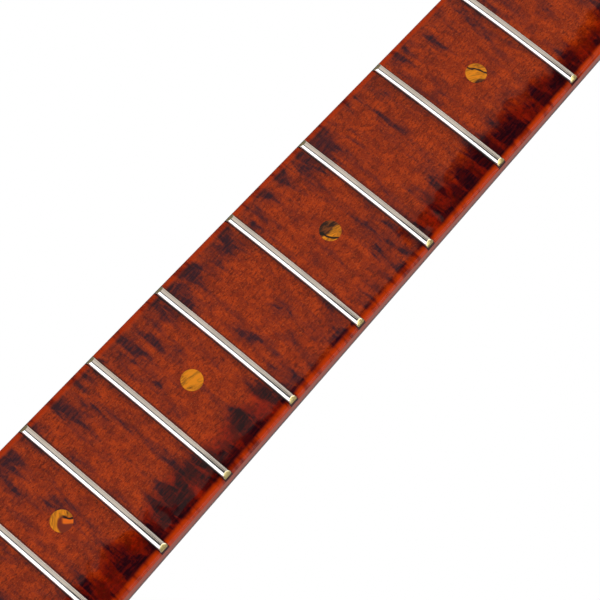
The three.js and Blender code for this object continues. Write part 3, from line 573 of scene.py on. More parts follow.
def spruce(name, light, dark, edge=None):
    """Straight-grained spruce with darker late wood; lacquered with a burst if it has an edge colour."""
    material, shader, here = coated(name, 0.6, 0.15, 1.0 if edge else 0.0, 0.22)
    x, _, z = axes(here)
    across = noise(here, (3, 3, 4), detail=2) * 0.012 + x
    rings = noise(flow(here.tree, "CombineXYZ", {0: across}), (620, 1, 1), detail=2, roughness=0.6)
    fine = noise(here, (2200, 2200, 90), detail=3, roughness=0.6, shift=3.0)
    silk = noise(here, (35, 35, 260), detail=2, shift=6.0)
    wood = blend(band(rings, 0.42, 0.68), light, dark)
    wood = blend(band(fine, 0.5, 0.7) * 0.35, wood, dark)
    wood = blend(band(silk, 0.5, 0.75) * 0.22, wood, tinted(light, 1.15))
    if edge:
        wood = blend(burst_share(x, z), wood, edge)
        waves = noise(here, (18, 18, 18), detail=1, shift=1.3)
        feed(shader, Coat_Normal=bump(waves, 1.0, 0.06 * MM))
    feed(shader, Base_Color=wood)
    return material


def plain_wood(name, light, dark, roughness=0.45, coat=0.0):
    """Dense wood with short dark pores along the grain."""
    material, shader, here = coated(name, roughness, 0.3, coat, 0.08)
    figure = noise(here, (160, 160, 22), detail=4, roughness=0.6, distortion=0.4)
    pores = noise(here, (2600, 2600, 260), detail=2, roughness=0.5, shift=2.7)
    wood = blend(band(figure, 0.35, 0.68), light, dark)
    wood = blend(band(pores, 0.56, 0.68) * 0.7, wood, tinted(dark, 0.4))
    feed(shader, Base_Color=wood, Normal=bump(pores, 0.4, 0.03 * MM))
    return material


def polished_metal(name, colour, roughness, along=(8, 5200, 5200)):
    """Polished metal with faint haze and fine drawn lines along one axis."""
    material, shader, here = new_material(name, Metallic=1.0)
    lines = noise(here, along, detail=2, roughness=0.5)
    haze = noise(here, (160, 160, 160), detail=4, shift=5.0)
    inputs = {"Value": haze, "To Min": roughness * 0.7, "To Max": roughness * 1.4}
    rough = flow(here.tree, "MapRange", inputs)
    metal = blend(band(haze, 0.4, 0.75), colour, tinted(colour, 0.84))
    feed(shader, Base_Color=metal, Roughness=rough, Normal=bump(lines, 0.5, 0.002 * MM))
    return material


def smooth_stuff(name, light, dark, per_metre, roughness=0.35, coat=0.3, scatter=0.0):
    """Bone, plastic or lacquer: a slightly clouded even colour."""
    material, shader, here = coated(name, roughness, 0.5, coat, 0.1)
    shader.inputs["Subsurface Weight"].default_value = scatter
    clouds = noise(here, per_metre, detail=4, roughness=0.6, distortion=0.3)
    feed(shader, Base_Color=blend(band(clouds, 0.35, 0.7), light, dark), Normal=bump(clouds, 0.2, 0.02 * MM))
    return material


def amber_shell(name, middle, turn, shift, dark_from, seam_turn, seam_at, hollow=False):
    """Amber shell dot: streaked gold that goes dark on one side, crossed by a thin dark seam.

    The turns are in degrees about y, and the distances along the turned axes in dot radii.
    A hollow dot is a gold crescent round a brown heart with an orange wedge.
    """
    gold, orange, brown = (0.92, 0.30, 0.004), (0.95, 0.17, 0.004), (0.22, 0.024, 0.006)
    material, shader, here = coated(name, 0.4, 0.1, 1.0, 0.04, THIN_LACQUER_IOR)
    local = flow(here.tree, "VectorMath", {0: here, 1: middle}, operation="SUBTRACT")

    def rotated(degrees):
        inputs = {"Vector": local, "Angle": radians(degrees)}
        return flow(here.tree, "VectorRotate", inputs, rotation_type="Y_AXIS")

    turned = rotated(turn)
    beside, _, reach = (axis / DOT_RADIUS for axis in axes(turned))
    layers = noise(turned, (170, 170, 900), detail=4, roughness=0.62, distortion=0.6, shift=shift)
    sway = (noise(turned, (260, 260, 160), detail=2, shift=shift + 9) - 0.5) * 1.3
    colour = blend(band(layers, 0.40, 0.62), gold, tinted(gold, 0.42))
    colour = blend(band(layers, 0.60, 0.66), colour, tinted(gold, 0.12))
    shade = blend(band(layers, 0.38, 0.56), (0.24, 0.055, 0.006), (0.030, 0.009, 0.004))
    colour = blend(band(reach + sway, dark_from, dark_from + 0.18), colour, shade)
    seam = band(abs(axes(rotated(seam_turn))[2] / DOT_RADIUS + sway - seam_at), 0.13, 0.05)
    if hollow:
        from_heart = distance(beside - 0.30, reach - 0.24) + sway * 0.5
        colour = blend(band(from_heart, 0.86, 0.66), colour, brown)
        wedge = band(abs(sway * 0.4 + beside), 0.34, 0.18) * band(reach, -0.05, 0.20)
        colour = blend(wedge, colour, orange)
        seam = seam * band(reach, -0.05, 0.25)
    feed(shader, Base_Color=blend(seam, colour, (0.012, 0.006, 0.003)))
    return material


def rosette_material():
    """Rings of black and maple lines round a band of herringbone chips."""
    material, shader, here = coated("rosette_wood", 0.5, 0.1, 1.0, 0.05)
    x, _, z = axes(here)
    along = z - HOLE.z
    from_middle = abs(distance(x, along) - ROSETTE_RADIUS)
    chips = (x.calc("ARCTAN2", along) * 24.0 + from_middle * 900.0) * 2.0
    grain = noise(here, (900, 900, 900), detail=3)
    pale = blend(band(grain, 0.4, 0.7), (0.50, 0.24, 0.09), (0.32, 0.13, 0.045))
    mosaic = blend(band(chips.calc("SINE"), -0.15, 0.15), (0.030, 0.012, 0.008), pale)
    border = blend(band((from_middle * 5200.0).calc("SINE"), -0.2, 0.2), (0.012, 0.010, 0.009), pale)
    feed(shader, Base_Color=blend(band(from_middle, 2.25 * MM, 2.35 * MM), mosaic, border))
    return material


EVEN = (900, 900, 900)
BLACK = (0.012, 0.011, 0.011)
IVORY = (0.80, 0.70, 0.50)

BOARD = lacquered_board()
NECK_MAPLE = lacquered_maple("neck_maple", (0.26, 0.034, 0.011), (0.11, 0.012, 0.005))
BODY_MAPLE = lacquered_maple("body_maple", (0.30, 0.042, 0.012), (0.12, 0.013, 0.005), burst=0.8)
SIDE_MAPLE = lacquered_maple("side_maple", (0.20, 0.024, 0.008), (0.075, 0.008, 0.004), flame=(60, 12, 60))
TOP_SPRUCE = spruce("top_spruce", (0.56, 0.19, 0.045), (0.30, 0.070, 0.016), (0.060, 0.006, 0.0025))
INNER_SPRUCE = spruce("bare_spruce", (0.62, 0.42, 0.22), (0.45, 0.27, 0.12))
MAHOGANY = plain_wood("mahogany", (0.30, 0.13, 0.065), (0.18, 0.065, 0.030), roughness=0.65)
DARK_WOOD = plain_wood("dark_wood", (0.050, 0.022, 0.014), (0.018, 0.009, 0.007))
VENEER = plain_wood("headstock_veneer", (0.050, 0.018, 0.011), (0.016, 0.007, 0.006), coat=1.0)
BONE = smooth_stuff("bone", (0.78, 0.70, 0.54), (0.66, 0.56, 0.40), (300, 300, 900), scatter=0.1)
BLACK_TRIM = smooth_stuff("black_trim", BLACK, (0.020, 0.017, 0.015), (200, 200, 200), coat=1.0)
IVOROID = smooth_stuff("ivoroid", IVORY, (0.68, 0.55, 0.34), (90, 420, 420), roughness=0.25, coat=0.8)
FILLER = smooth_stuff("side_dot", (0.80, 0.72, 0.52), (0.70, 0.60, 0.40), (500, 500, 500), coat=1.0)
NICKEL_SILVER = polished_metal("nickel_silver", (0.91, 0.91, 0.93), 0.07)
# painted highlight: the eased rims of the fret ends get a paler gold than the wire has
FRET_RIM_HIGHLIGHT = polished_metal("fret_rim_highlight", (1.0, 0.90, 0.60), 0.25)
# painted reflection: gold on the filed ends of the nickel silver frets stands in for the warm light they
# mirror
FRET_END_REFLECTION = polished_metal("fret_end", (0.82, 0.68, 0.30), 0.25)
NICKEL = polished_metal("nickel", (0.72, 0.70, 0.66), 0.16, EVEN)
BRASS = polished_metal("brass", (0.80, 0.52, 0.18), 0.24, EVEN)
STEEL = polished_metal("steel", (0.50, 0.50, 0.51), 0.35, (900, 900, 40))

# ------ fretboard, frets, dots and nut


def board_ring(z):
    """Section of the board across the neck, from one lower corner over the crown to the other."""
    half = half_width(z)
    inner = half - SHOULDER_WIDTH
    columns, roll_steps = 28, 10
    across = [-inner - SHOULDER_WIDTH * cos(angle) for angle in evenly(pi / 2, roll_steps)[:-1]]
    across += [x - inner for x in evenly(2 * inner, columns)]
    across += [-x for x in reversed(across[:roll_steps])]
    ring = [Vector((-half, BOARD_HIGH.y, z))]
    ring += [Vector((x, board_surface(x, z), z)) for x in across]
    ring.append(Vector((half, BOARD_HIGH.y, z)))
    return ring


def fretboard():
    rings = [board_ring(BOARD_HIGH.z - down) for down in evenly(BOARD_HIGH.z - BOARD_LOW.z, 60)]
    piece("fretboard_visual", [loft(rings)], BOARD, replaces="fretboard", sharp=50)


def fret(node):
    """Domed wire whose foot follows the board, with its ends filed back and their rims eased."""
    low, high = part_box(node)
    middle = (low.z + high.z) / 2
    half_thickness = (high.z - low.z) / 2
    height = FRET_RISE - 0.05 * MM
    filed_back = 0.95 * MM
    ease = 0.16 * MM
    steps = 40

    def ring(lean, shrink):
        points = []
        for angle in evenly(pi, 18):
            rise = height * sin(angle) ** 0.85
            x = lean * (high.x - filed_back * rise / height)
            rise -= shrink * sin(angle)
            z = middle + (half_thickness - shrink) * cos(angle)
            points.append(Vector((x, crown_drop(x) - rise, z)))
        x = lean * high.x
        foot = board_surface(x, middle) + 0.15 * MM
        for side in (-1, 1):
            points.append(Vector((x, foot, middle + side * (half_thickness - 0.12 * MM))))
        return points

    inner = 1 - ease / high.x
    rings = [ring(-1, ease)]
    rings += [ring(inner * (2 * step / steps - 1), 0) for step in range(steps + 1)]
    rings.append(ring(1, ease))
    made = piece(node + "_visual", [loft(rings)], NICKEL_SILVER, replaces=node, sharp=35)
    # the eased rims carry a painted highlight in pale gold
    made.data.materials.append(FRET_RIM_HIGHLIGHT)
    # the filed ends carry a painted warm reflection in gold
    made.data.materials.append(FRET_END_REFLECTION)
    for polygon in made.data.polygons:
        if len(polygon.vertices) > 4:
            polygon.material_index = 2
        elif abs(polygon.center.x) > inner * high.x - filed_back and abs(polygon.normal.x) > 0.5:
            polygon.material_index = 1


def dot(name, x, z, material):
    """Inlaid disc that follows the crown and stands just proud of it."""
    proud = 0.02 * MM
    rings, sides = 6, 40
    vertices = [Vector((x, crown_drop(x) - proud, z))]
    for ring in range(1, rings + 1):
        for a, b in circle(DOT_RADIUS * ring / rings, x, z, sides):
            vertices.append(Vector((a, crown_drop(a) - proud, b)))
    vertices += [v + Vector((0, DOT_DEPTH, 0)) for v in vertices[-sides:]]
    shell = (vertices, disc_faces(rings, sides))
    piece(name, [shell], material, sharp=50)


def midway(number):
    """Halfway between a fret and the one before it."""
    return (centre(f"fret_{number:02d}").z + centre(f"fret_{number - 1:02d}").z) / 2


def dots():
    # turn, shift, dark_from, seam_turn, seam_at and hollow
    looks = {
        3: (240, 0.4, 0.55, 22, 0.35),
        5: (75, 2.9, -0.10, 30, -0.42),
        7: (77, 5.2, 1.4, 35, 1.8),
        9: (-45, 8.3, 1.4, 35, 0.42, True),
        12: (70, 11.0, 0.3, 50, -0.2),
        15: (15, 13.2, 0.5, 40, 0.1),
        17: (-30, 17.9, 0.2, -10, -0.6),
    }
    for number, look in looks.items():
        z = midway(number)
        places = (-8.5 * MM, 8.5 * MM) if number == 12 else (0,)
        for count, x in enumerate(places):
            name = f"dot_{number}_{count + 1}"
            dot(name, x, z, amber_shell(name, (x, 0, z), *look))
            side_dot(f"side_dot_{number}_{count + 1}", z + 0.35 * x)


def side_dot(name, z):
    """Small dot in the bass side of the board."""
    x, y = -half_width(z), 3.6 * MM

    def place(a, b, depth):
        return Vector((x + depth, y + a, z + b))

    shell = slab(circle(MM, sides=20), -0.03 * MM, MM, place, bevel=CRISP, steps=1)
    piece(name, [shell], FILLER)


def string_places(course_gap, half_pair):
    """The x of each string, in four pairs spread evenly about the centre line."""
    return [(course - 1.5) * course_gap + side * half_pair for course in range(4) for side in (-1, 1)]


def nut():
    """Bone nut: rounded over the top, with a notch for each string."""
    half = NUT_HALF_WIDTH
    corner = 0.4 * MM
    notch_half, notch_depth = 0.4 * MM, 0.8 * MM

    def top(x):
        share = abs(x) / half
        return NUT_LOW.y + 0.35 * MM * share**2 + MM * (max(share - 0.9, 0) / 0.1) ** 2

    strings = string_places(9.9 * MM, 1.2 * MM)
    profile = [(-half, NUT_HIGH.y), (-half, top(half) + corner)]
    steps = 400
    for i in range(1, steps):
        x = -half + 2 * half * i / steps
        gap = min(abs(x - string) for string in strings)
        notch = notch_depth * sqrt(max(1 - (gap / notch_half) ** 2, 0))
        profile.append((x, top(x) + notch))
    profile += [(half, top(half) + corner), (half, NUT_HIGH.y)]
    shell = slab(profile, NUT_LOW.z, NUT_HIGH.z, in_xy, bevel=0.12 * MM, steps=1)
    piece("nut_visual", [shell], BONE, replaces="nut", sharp=25)


# ------ neck, heel and headstock


def head_outline(start):
    """Outline of the headstock in x and height, from a starting height upwards."""
    low, high, top = 37 * MM, 40 * MM, HEAD_LENGTH
    base = NUT_HALF_WIDTH
    knee, shoulder = 26 * MM, top - 26 * MM
    right = [(base, start)]
    right += curve((base, 4 * MM), (base, 14 * MM), (low, 12 * MM), (low, knee))
    right += [(low, knee)]
    right += curve((high, shoulder), (high, top - 8 * MM), (high - 14 * MM, top - 4 * MM), (0, top))
    return right + [(0, top)] + [(-a, b) for a, b in reversed(right)]


def neck_ring(z, half, depth):
    """D-shaped section of the neck's shaft."""
    top = BOARD_HIGH.y + SEAM
    side = top + 0.4 * MM
    fullness = 0.94
    points = []
    for angle in evenly(pi, 48):
        across = copysign(abs(cos(angle)) ** fullness, cos(angle))
        points.append(Vector((half * across, side + (depth - side) * sin(angle) ** fullness, z)))
    return points + [Vector((-half, top, z)), Vector((half, top, z))]


def heel_outline(half, length, steps):
    """Arch of the heel from the face of its joint."""
    return [(half * cos(a), JOINT + SEAM + length * sin(a) ** 0.9) for a in evenly(pi, steps)]


def neck():
    """Shaft, volute, head and heel in one piece, with holes for the posts and room for the rod's nut."""
    depth_at_nut, deeper_at_joint, volute = 21, 3, 1.4
    rings = []
    for z in range(24, -1, -3):
        swell = sin(pi * z / 30) ** 2 if z < 24 else 0.3
        rings.append(neck_ring(z * MM, NUT_HALF_WIDTH, (depth_at_nut + volute * swell) * MM))
    steps = 40
    for i in range(1, steps + 1):
        z = (JOINT + SEAM) * i / steps
        rings.append(neck_ring(z, half_width(z), (depth_at_nut + deeper_at_joint * i / steps) * MM))
    shaft = loft(rings)

    levels = []
    count = 32
    start, foot = 14 * MM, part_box("heel_cap")[0].y - SEAM
    for level in range(count + 1):
        share = level / count
        narrowing = sin(share * pi / 2)
        half = (half_width(JOINT) - 1.5 * MM) * (1 - narrowing) + HEEL_HALF * narrowing
        length = HEEL_LENGTH + 40 * MM * (1 - sqrt(1 - (1 - share) ** 2))
        y = start + (foot - start) * share
        levels.append([Vector((a, y, b)) for a, b in heel_outline(half, length, 40)])
    heel = loft(levels)

    outline = head_outline(-12 * MM)
    head = slab(outline, 2 * MM, HEAD_BACK, in_head, bevel=0.1 * MM, back_bevel=1.6 * MM, steps=4)
    whole = combined("UNION", shaft, [heel, head])

    nut_pocket = slab(rectangle(5 * MM, 2 * MM, 21 * MM), -3 * MM, 13 * MM, in_head)
    above_head = slab(rectangle(60 * MM, -2 * MM, 170 * MM), -60 * MM, 2 * MM, in_head)
    tools = [nut_pocket, above_head]
    for side, _, post in POSTS:
        tools.append(slab(circle(POST_HOLE, side * POST_X, post), -5 * MM, 25 * MM, in_head))
    shell = combined("DIFFERENCE", whole, tools)
    piece("neck_visual", [shell], NECK_MAPLE, replaces="neck")


def headstock():
    holes = [circle(POST_HOLE, side * POST_X, post) for side, _, post in POSTS]
    holes.append(rectangle(5.3 * MM, MM, 24 * MM))
    outline = head_outline(0.5 * MM)
    shell = slab(outline, 0, VENEER_BACK, in_head, holes, bevel=0.35 * MM, back_bevel=CRISP)
    piece("veneer_visual", [shell], VENEER, replaces="headstock_veneer", sharp=20)

    ferrules = []
    for side, _, post in POSTS:
        holes = [circle(3.25 * MM, side * POST_X, post, 32)]
        ring = circle(5.4 * MM, side * POST_X, post, 32)
        ferrules.append(slab(ring, -1.1 * MM, 0.4 * MM, in_head, holes, bevel=0.7 * MM, back_bevel=CRISP))
        washer = circle(4.15 * MM, side * POST_X, post, 32)
        ferrules.append(slab(washer, -0.2 * MM, 6 * MM, in_head, holes, bevel=0.1 * MM))
    piece("ferrules", ferrules, NICKEL, sharp=20)

    cover = curve((-9, 2), (-5, 2), (5, 2), (9, 2), 8)
    cover += curve((9, 2), (10, 14), (8, 22), (0, 36))
    cover += curve((0, 36), (-8, 22), (-10, 14), (-9, 2))
    shell = slab(scaled(cover), -1.6 * MM, -SEAM, in_head, bevel=0.5 * MM, back_bevel=CRISP)
    piece("truss_cover_visual", [shell], BLACK_TRIM, replaces="truss_rod_cover", sharp=20)
    screws = [screw(x, -1.5 * MM, z, -1, 0.4) for x, z in scaled([(-6, 5), (6, 5), (0, 30.5)])]
    piece("cover_screws", screws, NICKEL, sharp=35)


def screw(x, level, z, facing, turn):
    """Domed cross-head screw on the headstock; facing is -1 towards the front and 1 towards the back."""
    rings, sides = 14, 48
    radius = 1.7 * MM
    dome, cross_depth = 0.42 * radius, 0.35 * radius
    arm_length, arm_half = 0.55 * radius, 0.13 * radius
    vertices = [in_head(x, z, level + facing * (dome - cross_depth))]
    for ring in range(1, rings + 1):
        reach = ring / rings
        for a, b in circle(radius * reach, 0, 0, sides):
            rise = dome * sqrt(1 - 0.92 * reach**2)
            u = abs(a * cos(turn) + b * sin(turn))
            v = abs(-a * sin(turn) + b * cos(turn))
            if max(u, v) < arm_length and min(u, v) < arm_half:
                rise -= cross_depth
            vertices.append(in_head(x + a, z + b, level + facing * rise))
    vertices += [in_head(a, b, level - facing * 0.5 * MM) for a, b in circle(radius, x, z, sides)]
    return vertices, disc_faces(rings, sides)


# ------ tuning machines


def rounded(low_a, high_a, low_b, high_b, radius):
    """Rectangle with round corners."""
    corners = ((high_a, low_b, -90), (high_a, high_b, 0), (low_a, high_b, 90), (low_a, low_b, 180))
    points = []
    for a, b, start in corners:
        ca = a - copysign(radius, a - (low_a + high_a) / 2)
        cb = b - copysign(radius, b - (low_b + high_b) / 2)
        for turn in evenly(90, 6):
            angle = radians(start + turn)
            points.append((ca + radius * cos(angle), cb + radius * sin(angle)))
    return points


def tuner_plate(side, name):
    """One plate for four machines, with two lugs bent up for each worm and screws along its edges."""
    first = FIRST_POST - WORM_BEHIND - 10 * MM
    last = FIRST_POST + 3 * POST_SPACING + 12 * MM
    inner, outer = 14 * MM, 35.5 * MM
    low, high = sorted((side * inner, side * outer))
    own_posts = [post for s, _, post in POSTS if s == side]
    holes = [circle(3.3 * MM, side * POST_X, post, 32) for post in own_posts]
    outline = rounded(low, high, first, last, 3.5 * MM)
    shells = [slab(outline, PLATE_FRONT, PLATE_BACK, in_head, holes, bevel=CRISP, back_bevel=0.3 * MM)]
    lug = rounded(PLATE_FRONT + 0.2 * MM, GEAR_LEVEL + 3.5 * MM, -4 * MM, 4 * MM, 2.2 * MM)
    bore = [circle(2 * MM, GEAR_LEVEL, 0, 28)]
    lug_thick = 1.5 * MM
    for post in own_posts:
        for start in (inner, outer - lug_thick):
            edge = min(side * start, side * (start + lug_thick))

            def place(a, b, depth, edge=edge, worm_height=post - WORM_BEHIND):
                return in_head(edge + depth, worm_height + b, a)

            shells.append(slab(lug, 0, lug_thick, place, bore, bevel=0.2 * MM))
    node = f"tuner_plate_{name}"
    piece(f"{node}_visual", shells, NICKEL, replaces=node, sharp=20)

    spots = [(inner + 3 * MM, first + 4 * MM), (inner + 3 * MM, last - 4 * MM)]
    for row in range(3):
        between = FIRST_POST + (row + 0.5) * POST_SPACING - 5.4 * MM
        spots += [(inner + 3.2 * MM, between), (outer - 3.2 * MM, between)]
    screws = [screw(side * x, PLATE_BACK, z, 1, 0.5 + 1.3 * i) for i, (x, z) in enumerate(spots)]
    piece(f"plate_screws_{name}", screws, NICKEL, sharp=35)


def worm(side, name, post):
    """Right-handed worm with its shaft, and the button at the outer end."""
    worm_place = HEAD @ Matrix.Translation((side * POST_X, GEAR_LEVEL, post - WORM_BEHIND))
    if side < 0:
        worm_place = worm_place @ Matrix.Rotation(pi, 4, "Z")
    lead = pi * 0.8 * MM
    turns = 6.8 * MM / lead
    per_turn = 28
    steps = round(turns * per_turn)
    crest, foot = lead * 0.102, lead * 0.2516
    root, tip = 1.75 * MM, 3.68 * MM
    rings = []
    for i in range(steps + 1):
        turn = (i / steps - 0.5) * turns
        angle = 2 * pi * turn
        reach = root + (tip - root) * min(1, 5 * min(i, steps - i) / per_turn)
        ring = []
        for along, radius in ((-foot, root), (-crest, reach), (crest, reach), (foot, root)):
            point = Vector((along + turn * lead, -radius * sin(angle), radius * cos(angle)))
            ring.append(worm_place @ point)
        rings.append(ring)
    thread = loft(rings)

    def turned(a, b, along):
        return worm_place @ Vector((along, a, b))

    profile = [(0, -11.5), (1.3, -11.5), (1.65, -11.1), (1.65, -4.2), (2.0, -4.0), (2.02, 4.0)]
    profile += [(1.65, 4.2), (1.65, 14.4), (2.6, 14.6), (2.8, 15.2), (2.8, 16.4), (2.3, 17.2), (1.7, 17.6)]
    profile.append((0, 18.4))
    shaft = lathe(profile, turned)
    body, replaced = f"button_{name}", f"tuner_worm_{name}"
    piece(f"worm_{name}_visual", [thread, shaft], NICKEL, body, replaced, sharp=35)

    sizes = [(17.5, 2.5), (18.2, 3.1), (19.2, 3.7), (20.4, 4.5), (21.8, 5.9), (23.2, 7.1), (24.4, 7.7)]
    sizes += [(26.0, 7.75), (28.0, 7.5), (30.0, 7.1), (31.6, 6.5), (32.6, 5.6), (33.2, 4.4), (33.5, 2.6)]
    rings = []
    for x, size in sizes:
        ease = 1 if x < 31 else sqrt(max(1 - ((x - 31) / 2.7) ** 2, 0))
        thick = min(3.3, 0.8 * size) * ease + 0.15
        ring = []
        for i in range(48):
            angle = 2 * pi * i / 48
            ca, sa = cos(angle), sin(angle)
            y = thick * copysign(abs(ca) ** 0.75, ca)
            ring.append(worm_place @ Vector((x * MM, y * MM, size * copysign(abs(sa) ** 0.9, sa) * MM)))
        rings.append(ring)
    piece(f"button_{name}_visual", [loft(rings)], IVOROID, body, sharp=45)


def post_and_gear(side, name, post):
    """String post with its hole, and behind the plate its gear wheel and slotted screw."""

    def place(a, b, depth):
        return in_head(side * POST_X + a, post + b, depth)

    profile = [(0, -16), (2.2, -16), (2.8, -15.6), (3, -15), (3, -12.9), (2.55, -12.3), (2.4, -11)]
    profile += [(2.55, -9.7), (3, -9.1), (3, 20), (0, 20)]
    barrel = lathe(profile, place, 36)

    def across(a, b, depth):
        return in_head(side * POST_X + depth, post + a, b)

    bore = slab(circle(0.9 * MM, 0, -11 * MM, 20), -5 * MM, 5 * MM, across)
    barrel = combined("DIFFERENCE", barrel, [bore])

    teeth = 15
    flank = [(0.10, 6.66), (0.18, 6.5), (0.27, 5.6), (0.33, 5.2)]
    gullet = flank + [(0.5, 5.15)] + [(1 - share, radius) for share, radius in reversed(flank)]
    rim = []
    for number in range(teeth):
        for share, radius in gullet:
            angle = 2 * pi * (number + share - 0.5) / teeth - pi / 2
            rim.append((radius * cos(angle), radius * sin(angle)))
    half_thick = 1.2 * MM
    front, back = GEAR_LEVEL - half_thick, GEAR_LEVEL + half_thick
    gear = slab(scaled(rim), front, back, place, bevel=0.12 * MM, steps=1)
    hub = slab(circle(4.4 * MM, sides=36), PLATE_BACK + 0.3 * MM, GEAR_LEVEL, place, bevel=0.1 * MM)

    disc = circle(3.2 * MM, sides=40)
    head = slab(disc, back, GEAR_LEVEL + 2.75 * MM, place, bevel=CRISP, back_bevel=0.5 * MM)
    turn = Matrix.Rotation(0.3 + 0.7 * post / POST_SPACING, 2)
    bar = [tuple(turn @ Vector(corner)) for corner in rectangle(4 * MM, -0.4 * MM, 0.4 * MM)]
    slot = slab(bar, GEAR_LEVEL + 2 * MM, GEAR_LEVEL + 4 * MM, place)
    head = combined("DIFFERENCE", head, [slot])
    body, replaced = f"post_{name}", f"tuner_post_{name}"
    piece(f"post_{name}_visual", [barrel, head], NICKEL, body, replaced)
    piece(f"gear_{name}_visual", [gear, hub], BRASS, body, sharp=25)


# ------ sound box


def body_outline(inwards=0.0):
    """Pear-shaped outline in x and z, from the treble end of the heel joint round to the bass end."""
    widest = TAIL + BODY_HALF_WIDTH
    treble = curve(
        (SHOULDER_HALF, JOINT),
        (SHOULDER_HALF + 72 * MM, JOINT - 12 * MM),
        (BODY_HALF_WIDTH, widest + 128 * MM),
        (BODY_HALF_WIDTH, widest),
        48,
    )
    for angle in evenly(pi / 2, 40):
        treble.append((BODY_HALF_WIDTH * cos(angle), widest - BODY_HALF_WIDTH * sin(angle)))
    outline = treble + [(-a, b) for a, b in reversed(treble[:-1])]
    return inset(outline, inwards) if inwards else outline


def plate(outline, front, holes=()):
    return slab(outline, front, front + PLATE_THICK, in_xz, holes, bevel=CRISP)


def ring_about_hole(radius):
    return circle(radius, 0, HOLE.z, 160)


def sound_box():
    rosette_low, rosette_high = ROSETTE_RADIUS - ROSETTE_HALF, ROSETTE_RADIUS + ROSETTE_HALF
    groove = ring_about_hole(rosette_high + SEAM)
    mouth = ring_about_hole(HOLE_RADIUS)
    top = plate(body_outline(BINDING_WIDTH + SEAM), BODY_FRONT, [groove])
    lip = plate(ring_about_hole(rosette_low - SEAM), BODY_FRONT, [mouth])
    floor_front = BODY_FRONT + 1.2 * MM
    under_rosette = slab(groove, floor_front, BODY_FRONT + PLATE_THICK, in_xz, [mouth], bevel=CRISP)
    shells = [top, lip, under_rosette]
    piece("soundboard_visual", shells, TOP_SPRUCE, replaces="soundboard", sharp=20)
    hole = [ring_about_hole(rosette_low)]
    ring = slab(ring_about_hole(rosette_high), BODY_FRONT, BODY_FRONT + MM, in_xz, hole, bevel=CRISP)
    piece("rosette_visual", [ring], rosette_material(), replaces="rosette", sharp=20)

    back = plate(body_outline(BINDING_WIDTH + SEAM), BODY_BACK - PLATE_THICK)
    piece("back_visual", [back], BODY_MAPLE, replaces="back_plate", sharp=20)
    hole = [body_outline(BINDING_WIDTH)]
    bevels = (0.8 * MM, 0.05 * MM)
    for node, front in (("top_binding", BODY_FRONT), ("back_binding", BODY_BACK - BINDING_DEPTH)):
        shell = slab(body_outline(), front, front + BINDING_DEPTH, in_xz, hole, bevels[0], 4, bevels[1])
        piece(f"{node}_visual", [shell], BLACK_TRIM, replaces=node)
        bevels = bevels[::-1]

    front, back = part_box("side_treble")[0].y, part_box("side_treble")[1].y
    thick, half_seam = 2.2 * MM, SEAM / 2
    outer, inner = body_outline(), body_outline(thick)
    half = len(outer) // 2
    for side, node in ((1, "side_treble"), (-1, "side_bass")):
        wall = [(half_seam, JOINT)] + outer[:half] + [(half_seam, TAIL)]
        wall += [(half_seam, TAIL + thick)] + inner[:half][::-1] + [(half_seam, JOINT - thick)]
        wall = [(side * a, b) for a, b in wall]
        shell = slab(wall, front, back, in_xz, steps=1)
        piece(f"{node}_visual", [shell], SIDE_MAPLE, replaces=node)


def heel_cap():
    outline = heel_outline(HEEL_HALF, HEEL_LENGTH, 48)
    front = BODY_BACK - PLATE_THICK
    shell = slab(outline, front, BODY_BACK, in_xz, bevel=CRISP, back_bevel=0.8 * MM)
    piece("heel_cap_visual", [shell], DARK_WOOD, replaces="heel_cap", sharp=20)


def bridge():
    """Glued bridge: thin wings, a saddle slot, a tie channel and a hole for every string."""
    low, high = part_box("bridge")
    base, top = high.y, low.y
    wing, chamfer = base - 3.5 * MM, 0.8 * MM
    edge, block = high.x, 53 * MM
    foot = (block + 10 * MM, wing)
    right = [(edge, base), (edge, wing + chamfer), (edge - chamfer, wing), foot]
    right += curve(foot, (block + 5 * MM, wing), (block + 2.5 * MM, top + 3 * MM), (block, top), 16)[1:]
    right.append((block, top))
    profile = right + [(-a, b) for a, b in reversed(right)]
    blank = slab(profile, low.z, high.z, in_xy, bevel=0.7 * MM, steps=4)

    def cut(depth, start, end):
        half_length = 38.15 * MM
        outline = rounded(-half_length, half_length, start, end, 0.4 * min(end - start, 3 * MM))
        return slab(outline, top - 4 * MM, top + depth, in_xz)

    slot = cut(5 * MM, SADDLE.z - 1.65 * MM, SADDLE.z + 1.65 * MM)
    channel = cut(3.2 * MM, SADDLE.z - 9 * MM, SADDLE.z - 5 * MM)
    tools = [slot, channel]
    for x in string_places(20.7 * MM, 1.6 * MM):
        hole = circle(MM, x, top + 1.9 * MM, 20)
        tools.append(slab(hole, SADDLE.z - 25 * MM, SADDLE.z - 7 * MM, in_xy))
    body = combined("DIFFERENCE", blank, tools)
    piece("bridge_visual", [body], DARK_WOOD, replaces="bridge", sharp=25)

    low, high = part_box("saddle")
    shoulder = low.y + 1.9 * MM
    profile = [(-high.x, high.y), (-high.x, shoulder)]
    steps = 48
    for i in range(1, steps):
        x = -high.x + 2 * high.x * i / steps
        profile.append((x, low.y + 1.6 * MM * (x / high.x) ** 2))
    profile += [(high.x, shoulder), (high.x, high.y)]
    shell = slab(profile, low.z, high.z, in_xy, bevel=0.5 * MM)
    piece("saddle_visual", [shell], BONE, replaces="saddle", sharp=25)


def end_pin():
    middle = (BODY_FRONT + BODY_BACK) / 2

    def place(a, b, along):
        return Vector((a, middle + b, TAIL + along))

    profile = [(0, -14), (3.6, -14), (5.2, -13.7), (6.4, -12.8), (6.9, -11.6), (6.8, -10.4), (6.1, -9.4)]
    profile += [(4.8, -8.4), (4.25, -7.2), (4.2, -6), (4.5, -4.4), (5.6, -2.9), (6.7, -2.1), (6.9, -1.6)]
    profile += [(6.9, -0.4), (4, -0.3), (3.6, 19), (0, 19)]
    shell = lathe(profile, place, 56)
    piece("end_pin_visual", [shell], DARK_WOOD, replaces="end_pin")


